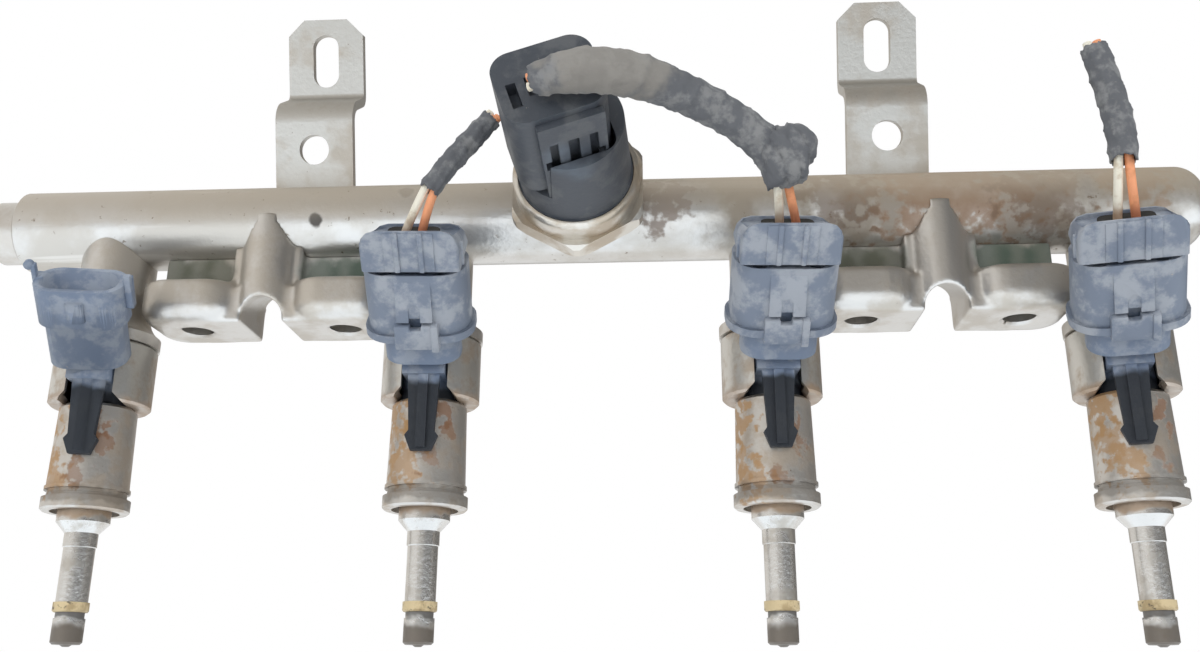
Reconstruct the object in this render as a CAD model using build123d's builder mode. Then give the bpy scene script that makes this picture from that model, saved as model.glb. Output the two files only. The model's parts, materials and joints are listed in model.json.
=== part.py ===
from build123d import *
import math
import os

# A four-cylinder direct-injection fuel rail with its injectors, pressure sensor and cut wiring.
# Millimetres. X runs along the rail, Z points away from the engine, -Y is the wiring side.
# The origin is midway along the line of bolt holes, on the saddles' seat plane.

os.makedirs("parts", exist_ok=True)

# General fits
BRAZE_GAP = 0.05
FIT_GAP = 0.1
PLASTIC_GAP = 0.3

# Injector places along the rail, and the turn of each injector about its own axis
PITCH = 85.0
INJECTOR_X = [-1.5 * PITCH, -0.5 * PITCH, 0.5 * PITCH, 1.5 * PITCH]
INJECTOR_TURN = [11.0, 3.0, 3.0, -14.0]

# Rail tube
TUBE_D = 21.5
TUBE_WALL = 3.5
TUBE_BORE_D = TUBE_D - 2 * TUBE_WALL
TUBE_AXIS_Z = 28.9
TUBE_PAST_LEFT = 25.5
TUBE_PAST_RIGHT = 24.0
TUBE_LEFT_X = INJECTOR_X[0] - TUBE_PAST_LEFT
TUBE_RIGHT_X = INJECTOR_X[3] + TUBE_PAST_RIGHT
TUBE_END_WALL = 6.0
TUBE_END_ROUND = 6.5
TUBE_MOUTH_CHAMFER = 0.6
FEED_HOLE_D = 3.0
FITTING_SOCKET_DEPTH = 6.0

# Inlet fitting in the left end of the tube
FITTING_STEP = 4.7
FITTING_D = TUBE_D - FITTING_STEP
FITTING_PROUD = 9.0
FITTING_CHAMFER = 1.6
INLET_TAP_D = 10.5
INLET_TAP_DEPTH = 9.0
INLET_CONE_DEPTH = 3.0
INLET_PASSAGE_D = 4.0

# Injector cups
CUP_NECK_D = 18.6
CUP_FLANGE_D = 25.0
CUP_FLANGE_THICK = 2.8
CUP_MOUTH_Z = -3.8
CUP_FLARE_Z = 5.0
CUP_BORE_D = 12.0
CUP_BORE_TOP_Z = 11.0
CUP_MOUTH_CHAMFER = 1.2

# Mounting saddles
SADDLE_SHIFT = 0.15
SADDLE_X = PITCH - SADDLE_SHIFT
CUP_TO_BOLT = 23.05
BOLT_HALF_SPACING = PITCH / 2 - CUP_TO_BOLT
BOSS_WIDTH = 25.4
BOSS_DEPTH = 24.4
BOSS_CORNER = 8.0
BOSS_TOP_Z = 12.0
BOSS_TOP_ROUND = 2.6
BOSS_SEAT_ROUND = 4.4
BOLT_TAP_D = 8.0
BOLT_TAP_DEPTH = 13.0
CUP_SCALLOP_D = 24.0
WAIST_DEPTH = 18.0
RIDGE_D = 15.0
RIDGE_Y = -4.0
ARCH_HALF_WIDTH = 5.2
ARCH_FRONT_Z = 0.4
ARCH_SLOPE = 19.0
CRADLE_LENGTH = 17.0
CRADLE_DEPTH = 15.0

# Cover brackets, folded from strip
BRACKET_X = [-79.1, 76.6]
STRIP_WIDTH = 21.5
STRIP_THICK = 2.5
STRIP_LEAN = 18.0
LOWER_LEG = 34.1
RISER_LENGTH = 13.0
RISER_ANGLE = 36.0
UPPER_LEG = 23.5
FOLD_RADIUS = 5.4
FOLD_BACK_RADIUS = 3.0
HUG_TURN = 62.0
BRACKET_HOLE_D = 8.2
BRACKET_HOLE_UP = 22.5
SLOT_WIDTH = 7.3
SLOT_LENGTH = 15.0
SLOT_UP = 11.6
BRACKET_CORNER = 4.6

# Injector inlet tube and its O-ring
INLET_STEM_D = 8.0
INLET_HEAD_D = 11.7
INLET_HEAD_LOW_Z = -1.4
INLET_TOP_Z = 8.6
INLET_STEM_LOW_Z = -27.0
INLET_BORE_D = 3.4
INLET_BORE_DEPTH = 24.0
O_RING_Z = 3.4
O_RING_GROOVE_D = 7.0
O_RING_GROOVE_WIDTH = 2.7
O_RING_SECTION_D = 2.4

# Solenoid body
BODY_TOP_Z = -20.0
BODY_TOP_D = 18.4
BODY_LOW_D = 19.2
BODY_SKIRT_Z = -40.3
BODY_FLANGE_D = 19.9
BODY_FLANGE_THICK = 0.9
BODY_LOW_Z = -42.2
BODY_TOP_CHAMFER = 0.8
BODY_SPIGOT_D = 16.0
BODY_SPIGOT_Z = -44.5

# Support ring under the body
RING_D = 20.6
RING_NECK_D = 18.6
RING_BORE_D = 16.2
RING_NECK_Z = -43.1
RING_LOW_Z = -46.3
RING_CHAMFER = 0.5

# Nozzle
NOZZLE_SPIGOT_D = 9.0
NOZZLE_SPIGOT_HEIGHT = 5.0
COLLAR_D = 12.4
COLLAR_LOW_Z = -48.8
CONE_LOW_Z = -51.4
NOZZLE_UPPER_D = 7.8
NOZZLE_STEP_Z = -54.7
NOZZLE_D = 7.3
SEAL_TOP_Z = -67.8
SEAL_LOW_Z = -70.2
SEAL_D = 8.2
SEAL_SEAT_D = 5.8
TIP_GROOVE_D = 6.6
TIP_TOP_Z = -71.6
TIP_D = 7.2
TIP_Z = -77.6
TIP_CHAMFER = 0.5
TIP_DOME_D = 3.0
TIP_DOME_HEIGHT = 0.5

# Spring clip between cup flange and body shoulder
CLIP_D = 24.4
CLIP_THICK = 1.2
CLIP_LIP_INNER_D = 15.6
CLIP_TOP_INNER_D = 15.0
CLIP_FRONT_HALF_GAP = 5.6
CLIP_CORNER = 2.0
CLIP_TOP_Z = -3.95
CLIP_LOW_Z = -19.9

# Injector overmould: a collar round the stem, a neck, a slanted socket and a tongue
COLLAR_PLASTIC_D = 14.2
COLLAR_PLASTIC_TOP_Z = -6.0
NECK_HALF_WIDTH = 5.05
NECK_FRONT_Y = -13.2
NECK_TOP_Z = -6.4
NECK_LOW_Z = -15.2
SOCKET_TILT = 48.0
SOCKET_ROOT_Y = -12.65
SOCKET_ROOT_Z = -8.77
SOCKET_LOWER_WIDTH = 18.0
SOCKET_LOWER_DEPTH = 12.2
SOCKET_STEP = 10.3
SOCKET_WIDTH = 20.6
SOCKET_DEPTH = 12.4
SOCKET_RIM = 20.3
SOCKET_WALL = 1.6
SOCKET_CAVITY = 13.9
SOCKET_CORNER = 5.2
SOCKET_ROOT_DROP = 1.0
CLIP_CLEARANCE_D = 25.8
NUB_WIDTH = 4.2
NUB_LOW = 12.6
NUB_HIGH = 17.6
NUB_PROUD = 1.5
KEY_PROUD = 0.7
KEY_DEPTH = 2.4
KEY_OFFSET = 2.6
KEY_LOW = 12.4
KEY_HIGH = 20.3
TONGUE_BACK_Y = -9.9
TONGUE_FRONT_Y = -11.6
TONGUE_RIB_Y = -12.6
TONGUE_RIB_HALF_WIDTH = 1.2
TONGUE_TOP_HALF_WIDTH = 3.9
TONGUE_MID_HALF_WIDTH = 3.05
TONGUE_HEAD_HALF_WIDTH = 3.95
TONGUE_TIP_HALF_WIDTH = 2.5
TONGUE_HEAD_Z = -30.0
TONGUE_LOW_Z = -33.6
PIN_WIDTH = 2.8
PIN_THICK = 0.8
PIN_HALF_SPACING = 3.6
PIN_HIGH = 14.2
PIN_SINK = 1.6

# Mating plugs, measured along the socket's axis from the socket root
PLUG_LOW = 6.4
PLUG_WAIST = 22.4
PLUG_HOOD_LOW = 25.5
PLUG_TOP = 34.8
PLUG_REAR_DROP = 4.8
PLUG_WALL = 1.4
PLUG_CORNER = 6.2
SKIRT_PROUD = 0.9
SKIRT_HEIGHT = 1.8
HOOD_WIDTH = 22.0
HOOD_FRONT = 8.0
HOOD_BACK = 8.4
HOOD_WALL = 1.3
HOOD_FLOOR = 28.6
HOOD_BEVEL = 5.0
WAIST_CUT = 3.2
HOOD_RIB_HALF_SPACINGS = [2.3, 6.2]
HOOD_RIB_WIDTH = 1.3
HOOD_RIB_PROUD = 0.7
LATCH_HALF_WIDTH = 4.1
LATCH_PROUD = 1.4
LATCH_LOW = 12.2
LATCH_SLIT = 0.7
BRIDGE_HALF_WIDTH = 4.8
BRIDGE_PROUD = 1.9
BRIDGE_LOW = 5.2
BRIDGE_HIGH = 11.4
NOTCH_HALF_WIDTH = 1.3
NOTCH_LOW = 10.2
NOTCH_HIGH = 15.4
PLUG_CORE_LOW = 9.4
SEAL_THICK = 2.4
SEAL_WIDTH = 12.0
SEAL_DEPTH = 5.4

# Pressure sensor, measured along its own axis. The datum is the tube radius that the heights were read with.
SENSOR_X = -4.5
SENSOR_DATUM = 10.75
SENSOR_RISE = TUBE_D / 2 - SENSOR_DATUM
SENSOR_TILT = 6.0
SENSOR_BOSS_D = 24.0
SENSOR_BOSS_FACE = 14.0
SENSOR_BOSS_BACK = 6.6
SENSOR_HEX_AF = 32.0
SENSOR_HEX_AC = 36.0
SENSOR_HEX_HIGH = 19.0
SENSOR_HEX_CHAMFER = 1.0
SENSOR_CRIMP_D = 31.0
SENSOR_CRIMP_HIGH = 25.2
SENSOR_CRIMP_BORE_D = 28.2
SENSOR_CRIMP_DEPTH = 4.4
SENSOR_CRIMP_ROUND = 1.6
SENSOR_SPIGOT_D = 13.0
SENSOR_SPIGOT_LOW = 11.1
SENSOR_PASSAGE_D = 3.0
HOUSING_BASE_D = 27.8
HOUSING_TOP_D = 25.4
HOUSING_TOP = 46.0
TOWER_TURN = 19.0
TOWER_SHIFT = 3.0
TOWER_WIDTH = 19.4
TOWER_HEIGHT = 15.4
TOWER_TOP = 48.0
TOWER_CAVITY = 9.0
TOWER_WALL = 1.7
TOWER_CORNER = 3.4
FACE_PLATE_LOW = 33.6
FACE_PLATE_WIDTH = 15.0
FACE_PLATE_PROUD = 1.6
FACE_PLATE_SHIFT = 1.6
RECESS_WIDTH = 11.0
RECESS_LOW = 38.6
RECESS_HIGH = 53.6
RECESS_DEPTH = 2.2
RECESS_STUB_WIDTH = 13.8
RECESS_STUB_LOW = 44.6
RECESS_STUB_HIGH = 47.6
RECESS_FINGER_WIDTH = 2.3
RECESS_FINGER_OFFSET = 2.4
RECESS_FINGER_LOW = 43.4
SENSOR_PLUG_WIDTH = 22.8
SENSOR_PLUG_HEIGHT = 18.8
SENSOR_PLUG_LOW = 35.0
SENSOR_PLUG_TOP = 62.0
SENSOR_PLUG_CORNER = 5.0
SENSOR_PLUG_CORE_LOW = 40.0
WINDOW_PLACES = [(-8.0, -1.8), (-2.6, -0.6)]
WINDOW_SIZES = [(2.2, 6.4), (4.6, 5.0)]
WINDOW_DEPTH = 4.0

# Wires and tape wraps. Each route is a hand-set list of points.
WIRE_D = 2.0
WIRE_HALF_PITCH = 1.1
WIRE_PLUG_HALF_PITCH = 1.9
WIRE_START = 25.0
TAPE_BORE_D = 4.7
TAPE_2_D = 5.8
TAPE_3_D = 8.6
TAPE_4_D = 6.8
ROUTE_2 = [(-36.4, -41.0, 19.6), (-34.0, -41.0, 23.8), (-28.6, -40.0, 31.1), (-23.4, -38.2, 38.8)]
ROUTE_3 = [
    (42.8, -43.6, 17.6),
    (41.6, -45.8, 23.8),
    (33.6, -50.4, 29.6),
    (24.0, -55.4, 33.0),
    (13.6, -62.7, 34.2),
    (3.6, -67.7, 33.7),
    (-4.6, -68.5, 32.5),
    (-9.6, -66.6, 32.0),
]
ROUTE_4 = [(116.9, -42.0, 22.6), (117.4, -42.0, 27.0), (116.6, -42.0, 38.4), (114.2, -42.0, 50.6)]
WIRE_STUB = 1.6
TAPE_LUMP_D = 11.0
TAPE_LUMP_PLACE = (42.2, -45.8, 22.6)


def save(part, name):
    """Label a finished piece and write its STEP file."""
    part.label = name
    export_step(part, f"parts/{name}.step")


def tilted_plane(tilt, origin):
    """A plane whose normal leans from +Z towards -Y by the tilt in degrees."""
    lean = math.radians(tilt)
    return Plane(origin=origin, x_dir=(1, 0, 0), z_dir=(0, -math.sin(lean), math.cos(lean)))


def socket_plane(height):
    """The section plane of the injector connector at a height along its axis."""
    return tilted_plane(SOCKET_TILT, (0, SOCKET_ROOT_Y, SOCKET_ROOT_Z)).offset(height)


def sensor_plane(height):
    """The section plane of the sensor at a height along its axis."""
    return tilted_plane(90.0 - SENSOR_TILT, (SENSOR_X, 0, TUBE_AXIS_Z)).offset(height + SENSOR_RISE)


def tower_plane(height):
    """The turned and shifted section plane of the sensor's connector tower."""
    return Plane(sensor_plane(height) * Location((-TOWER_SHIFT, 0, 0), (0, 0, TOWER_TURN)))


def turned(points):
    """A solid of revolution about Z from a closed list of radius and height pairs."""
    with BuildPart() as lathe:
        with BuildSketch(Plane.XZ):
            with BuildLine():
                Polyline(*points, close=True)
            make_face()
        revolve(axis=Axis.Z)
    return lathe.part


def tube_cutter():
    """The tube's outside with the braze gap, for cutting the pieces brazed to it."""
    with BuildPart() as cutter:
        with BuildSketch(Plane.YZ.offset(TUBE_LEFT_X)):
            with Locations((0, TUBE_AXIS_Z)):
                Circle(TUBE_D / 2 + BRAZE_GAP)
        extrude(amount=TUBE_RIGHT_X - TUBE_LEFT_X)
    return cutter.part


def make_rail_tube():
    """The drawn tube, closed and domed at its right end."""
    length = TUBE_RIGHT_X - TUBE_LEFT_X
    socket_d = FITTING_D + 2 * BRAZE_GAP
    with BuildPart() as tube:
        with BuildSketch(Plane.YZ.offset(TUBE_LEFT_X)):
            with Locations((0, TUBE_AXIS_Z)):
                Circle(TUBE_D / 2)
        extrude(amount=length)
        fillet(tube.edges().group_by(Axis.X)[-1], TUBE_END_ROUND)
        chamfer(tube.edges().group_by(Axis.X)[0], TUBE_MOUTH_CHAMFER)
        with BuildSketch(Plane.YZ.offset(TUBE_LEFT_X)):
            with Locations((0, TUBE_AXIS_Z)):
                Circle(TUBE_BORE_D / 2)
        extrude(amount=length - TUBE_END_WALL, mode=Mode.SUBTRACT)
        with BuildSketch(Plane.YZ.offset(TUBE_LEFT_X)):
            with Locations((0, TUBE_AXIS_Z)):
                Circle(socket_d / 2)
        extrude(amount=FITTING_SOCKET_DEPTH, mode=Mode.SUBTRACT)
        with BuildSketch(Plane.XY.offset(TUBE_AXIS_Z)):
            with Locations(*[(x, 0) for x in INJECTOR_X]):
                Circle(FEED_HOLE_D / 2)
        extrude(amount=-TUBE_D, mode=Mode.SUBTRACT)
        with BuildSketch(sensor_plane(0)):
            Circle(SENSOR_PASSAGE_D / 2)
        extrude(amount=TUBE_D, mode=Mode.SUBTRACT)
    return tube.part


def make_inlet_fitting():
    """The turned inlet fitting, with a tapped port and a cone seat."""
    outer = FITTING_D / 2
    port = INLET_TAP_D / 2
    passage = INLET_PASSAGE_D / 2
    depth = FITTING_PROUD + FITTING_SOCKET_DEPTH - BRAZE_GAP
    cone = INLET_TAP_DEPTH + INLET_CONE_DEPTH
    profile = [
        (port, 0),
        (outer - FITTING_CHAMFER, 0),
        (outer, -FITTING_CHAMFER),
        (outer, -depth),
        (passage, -depth),
        (passage, -cone),
        (port, -INLET_TAP_DEPTH),
    ]
    fitting = turned(profile)
    return Location((TUBE_LEFT_X - FITTING_PROUD, 0, TUBE_AXIS_Z), (0, -90, 0)) * fitting


def make_injector_cup():
    """One injector cup, flared to its flange and cradling the tube."""
    neck = CUP_NECK_D / 2
    flange = CUP_FLANGE_D / 2
    bore = CUP_BORE_D / 2
    feed = FEED_HOLE_D / 2
    flange_top = CUP_MOUTH_Z + CUP_FLANGE_THICK
    run = flange - neck
    rise = CUP_FLARE_Z - flange_top
    flare_radius = (run * run + rise * rise) / (2 * run)
    half_angle = math.atan2(rise, flare_radius - run) / 2
    mid_r = neck + flare_radius * (1 - math.cos(half_angle))
    mid_z = CUP_FLARE_Z - flare_radius * math.sin(half_angle)
    with BuildPart() as cup:
        with BuildSketch(Plane.XZ):
            with BuildLine():
                Polyline((bore + CUP_MOUTH_CHAMFER, CUP_MOUTH_Z), (flange, CUP_MOUTH_Z), (flange, flange_top))
                ThreePointArc((flange, flange_top), (mid_r, mid_z), (neck, CUP_FLARE_Z))
                Polyline((neck, CUP_FLARE_Z), (neck, TUBE_AXIS_Z), (feed, TUBE_AXIS_Z), (feed, CUP_BORE_TOP_Z))
                Polyline((feed, CUP_BORE_TOP_Z), (bore, CUP_BORE_TOP_Z), (bore, CUP_MOUTH_Z + CUP_MOUTH_CHAMFER))
                Line((bore, CUP_MOUTH_Z + CUP_MOUTH_CHAMFER), (bore + CUP_MOUTH_CHAMFER, CUP_MOUTH_Z))
            make_face()
        revolve(axis=Axis.Z)
        add(tube_cutter(), mode=Mode.SUBTRACT)
    return cup.part


def make_saddle():
    """One brazed saddle with two pillowed bosses, a sloping arch and a tube cradle."""
    bosses = [(-BOLT_HALF_SPACING, 0), (BOLT_HALF_SPACING, 0)]
    cups = [(x - SADDLE_X, 0) for x in INJECTOR_X]
    slope = math.radians(ARCH_SLOPE)
    arch_run = (0, -math.cos(slope), -math.sin(slope))
    arch_start = (0, RIDGE_Y - RIDGE_D / 2, ARCH_FRONT_Z)
    arch_plane = Plane(origin=arch_start, x_dir=(1, 0, 0), z_dir=arch_run)
    with BuildPart() as saddle:
        with BuildSketch(Plane.XY):
            with Locations(*bosses):
                RectangleRounded(BOSS_WIDTH, BOSS_DEPTH, BOSS_CORNER)
        extrude(amount=BOSS_TOP_Z)
        fillet(saddle.edges().group_by(Axis.Z)[-1], BOSS_TOP_ROUND)
        fillet(saddle.edges().group_by(Axis.Z)[0], BOSS_SEAT_ROUND)
        with BuildSketch(Plane.XY):
            Rectangle(2 * BOLT_HALF_SPACING, WAIST_DEPTH)
        extrude(amount=BOSS_TOP_Z - BOSS_TOP_ROUND)
        with BuildSketch(Plane.XY):
            with Locations((0, RIDGE_Y)):
                Circle(RIDGE_D / 2)
        extrude(amount=TUBE_AXIS_Z)
        with BuildSketch(Plane.XY.offset(BOSS_SEAT_ROUND)):
            Rectangle(2 * BOLT_HALF_SPACING + CRADLE_LENGTH, CRADLE_DEPTH)
        extrude(amount=TUBE_AXIS_Z - BOSS_SEAT_ROUND)
        with BuildSketch(arch_plane):
            with Locations((0, -BOSS_DEPTH / 2)):
                Rectangle(2 * ARCH_HALF_WIDTH, BOSS_DEPTH)
            Circle(ARCH_HALF_WIDTH)
        extrude(amount=BOSS_DEPTH, both=True, mode=Mode.SUBTRACT)
        with BuildSketch(Plane.XY):
            with Locations(*bosses):
                Circle(BOLT_TAP_D / 2)
        extrude(amount=BOLT_TAP_DEPTH, mode=Mode.SUBTRACT)
        with BuildSketch(Plane.XY):
            with Locations(*cups):
                Circle(CUP_SCALLOP_D / 2)
        extrude(amount=BOSS_TOP_Z, mode=Mode.SUBTRACT)
        add(tube_cutter(), mode=Mode.SUBTRACT)
    return saddle.part


def make_bracket():
    """One folded strip bracket that hugs the back of the tube."""
    lean = math.radians(STRIP_LEAN)
    up = (-math.sin(lean), math.cos(lean))
    back = (math.cos(math.radians(RISER_ANGLE)), math.sin(math.radians(RISER_ANGLE)))
    hug = TUBE_D / 2 + BRAZE_GAP + STRIP_THICK / 2
    root = (hug * math.cos(lean), TUBE_AXIS_Z + hug * math.sin(lean))
    fold = (root[0] + LOWER_LEG * up[0], root[1] + LOWER_LEG * up[1])
    second = (fold[0] + RISER_LENGTH * back[0], fold[1] + RISER_LENGTH * back[1])
    top = (second[0] + UPPER_LEG * up[0], second[1] + UPPER_LEG * up[1])
    hole = (root[0] + BRACKET_HOLE_UP * up[0], root[1] + BRACKET_HOLE_UP * up[1])
    slot = (second[0] + SLOT_UP * up[0], second[1] + SLOT_UP * up[1])
    front = (0, -math.cos(lean), -math.sin(lean))
    with BuildPart() as bracket:
        with BuildSketch(Plane.YZ.offset(-STRIP_WIDTH / 2)):
            with BuildLine() as centre:
                CenterArc((0, TUBE_AXIS_Z), hug, STRIP_LEAN - HUG_TURN, HUG_TURN)
                FilletPolyline(root, fold, second, top, radius=[FOLD_RADIUS, FOLD_BACK_RADIUS])
            trace(centre.wire(), STRIP_THICK)
        extrude(amount=STRIP_WIDTH)
        with BuildSketch(Plane(origin=(0, hole[0], hole[1]), x_dir=(1, 0, 0), z_dir=front)):
            Circle(BRACKET_HOLE_D / 2)
        extrude(amount=STRIP_THICK, both=True, mode=Mode.SUBTRACT)
        with BuildSketch(Plane(origin=(0, slot[0], slot[1]), x_dir=(1, 0, 0), z_dir=front)):
            SlotOverall(SLOT_LENGTH, SLOT_WIDTH, rotation=90)
        extrude(amount=STRIP_THICK, both=True, mode=Mode.SUBTRACT)
        corners = bracket.edges().filter_by(Axis((0, 0, 0), front)).group_by(Axis.Z)[-1]
        chamfer(corners, BRACKET_CORNER)
    return bracket.part


def make_inlet_tube():
    """The injector's inlet tube, with a grooved head inside the cup."""
    stem = INLET_STEM_D / 2
    head = INLET_HEAD_D / 2
    groove = O_RING_GROOVE_D / 2
    bore = INLET_BORE_D / 2
    half = O_RING_GROOVE_WIDTH / 2
    profile = [
        (0, INLET_STEM_LOW_Z),
        (stem, INLET_STEM_LOW_Z),
        (stem, INLET_HEAD_LOW_Z),
        (head, INLET_HEAD_LOW_Z),
        (head, O_RING_Z - half),
        (groove, O_RING_Z - half),
        (groove, O_RING_Z + half),
        (head, O_RING_Z + half),
        (head, INLET_TOP_Z - 1),
        (head - 1, INLET_TOP_Z),
        (bore, INLET_TOP_Z),
        (bore, INLET_TOP_Z - INLET_BORE_DEPTH),
        (0, INLET_TOP_Z - INLET_BORE_DEPTH),
    ]
    return turned(profile)


def make_solenoid_body():
    """The injector's steel body, bored for the inlet tube and the nozzle."""
    top = BODY_TOP_D / 2
    stem = INLET_STEM_D / 2 + FIT_GAP
    spigot = NOZZLE_SPIGOT_D / 2 + FIT_GAP
    flange_top = BODY_SKIRT_Z - FIT_GAP
    profile = [
        (0, INLET_STEM_LOW_Z - FIT_GAP),
        (stem, INLET_STEM_LOW_Z - FIT_GAP),
        (stem, BODY_TOP_Z),
        (top - BODY_TOP_CHAMFER, BODY_TOP_Z),
        (top, BODY_TOP_Z - BODY_TOP_CHAMFER),
        (BODY_LOW_D / 2, flange_top),
        (BODY_FLANGE_D / 2, flange_top),
        (BODY_FLANGE_D / 2, flange_top - BODY_FLANGE_THICK),
        (BODY_LOW_D / 2 - 0.4, flange_top - BODY_FLANGE_THICK),
        (BODY_LOW_D / 2 - 0.4, BODY_LOW_Z),
        (BODY_SPIGOT_D / 2, BODY_LOW_Z),
        (BODY_SPIGOT_D / 2, BODY_SPIGOT_Z),
        (spigot, BODY_SPIGOT_Z),
        (spigot, BODY_SPIGOT_Z + NOZZLE_SPIGOT_HEIGHT),
        (0, BODY_SPIGOT_Z + NOZZLE_SPIGOT_HEIGHT),
    ]
    return turned(profile)


def make_support_ring():
    """The grooved ring pressed on the body's lower spigot."""
    bore = BODY_SPIGOT_D / 2 + BRAZE_GAP
    outer = RING_D / 2
    neck = RING_NECK_D / 2
    profile = [
        (bore, BODY_LOW_Z - BRAZE_GAP),
        (neck, BODY_LOW_Z - BRAZE_GAP),
        (neck, RING_NECK_Z),
        (outer, RING_NECK_Z),
        (outer, RING_LOW_Z + RING_CHAMFER),
        (outer - RING_CHAMFER, RING_LOW_Z),
        (bore, RING_LOW_Z),
    ]
    return turned(profile)


def make_nozzle():
    """The nozzle, from its spigot in the body down to the domed tip."""
    top = BODY_SPIGOT_Z - FIT_GAP
    collar = COLLAR_D / 2
    upper = NOZZLE_UPPER_D / 2
    tube = NOZZLE_D / 2
    seat = SEAL_SEAT_D / 2
    tip = TIP_D / 2
    dome = TIP_DOME_D / 2
    profile = [
        (0, top + NOZZLE_SPIGOT_HEIGHT - FIT_GAP),
        (NOZZLE_SPIGOT_D / 2, top + NOZZLE_SPIGOT_HEIGHT - FIT_GAP),
        (NOZZLE_SPIGOT_D / 2, top),
        (collar, top),
        (collar, COLLAR_LOW_Z),
        (upper, CONE_LOW_Z),
        (upper, NOZZLE_STEP_Z),
        (tube, NOZZLE_STEP_Z - 0.2),
        (tube, SEAL_TOP_Z),
        (seat, SEAL_TOP_Z),
        (seat, SEAL_LOW_Z),
        (TIP_GROOVE_D / 2, SEAL_LOW_Z),
        (TIP_GROOVE_D / 2, TIP_TOP_Z),
        (tip, TIP_TOP_Z),
        (tip, TIP_Z + TIP_CHAMFER),
        (tip - TIP_CHAMFER, TIP_Z),
        (dome, TIP_Z),
        (dome / 2, TIP_Z - TIP_DOME_HEIGHT),
        (0, TIP_Z - TIP_DOME_HEIGHT),
    ]
    return turned(profile)


def make_tip_seal():
    """The fluoropolymer combustion seal near the nozzle tip."""
    inner = SEAL_SEAT_D / 2 + BRAZE_GAP
    outer = SEAL_D / 2
    top = SEAL_TOP_Z - BRAZE_GAP
    low = SEAL_LOW_Z + BRAZE_GAP
    return turned([(inner, low), (outer - 0.3, low), (outer, low + 0.3), (outer, top), (inner, top)])


def make_hold_clip():
    """The sprung sleeve between the cup and the body, open at the connector side."""
    outer = CLIP_D / 2
    wall = outer - CLIP_THICK
    top_inner = CLIP_TOP_INNER_D / 2
    low_inner = CLIP_LIP_INNER_D / 2
    profile = [
        (low_inner, CLIP_LOW_Z),
        (outer - CLIP_THICK / 2, CLIP_LOW_Z),
        (outer, CLIP_LOW_Z + CLIP_THICK / 2),
        (outer, CLIP_TOP_Z - CLIP_THICK / 2),
        (outer - CLIP_THICK / 2, CLIP_TOP_Z),
        (top_inner, CLIP_TOP_Z),
        (top_inner, CLIP_TOP_Z - CLIP_THICK),
        (wall, CLIP_TOP_Z - CLIP_THICK),
        (wall, CLIP_LOW_Z + CLIP_THICK),
        (low_inner, CLIP_LOW_Z + CLIP_THICK),
    ]
    gap = CLIP_FRONT_HALF_GAP
    with BuildPart() as clip:
        add(turned(profile))
        with BuildSketch(Plane.XZ):
            with BuildLine():
                Polyline(
                    (-gap, CLIP_TOP_Z),
                    (gap, CLIP_TOP_Z),
                    (gap, CLIP_LOW_Z + CLIP_CORNER),
                    (gap + CLIP_CORNER, CLIP_LOW_Z),
                    (-gap - CLIP_CORNER, CLIP_LOW_Z),
                    (-gap, CLIP_LOW_Z + CLIP_CORNER),
                    close=True,
                )
            make_face()
        extrude(amount=CLIP_D, mode=Mode.SUBTRACT)
    return clip.part


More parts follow.
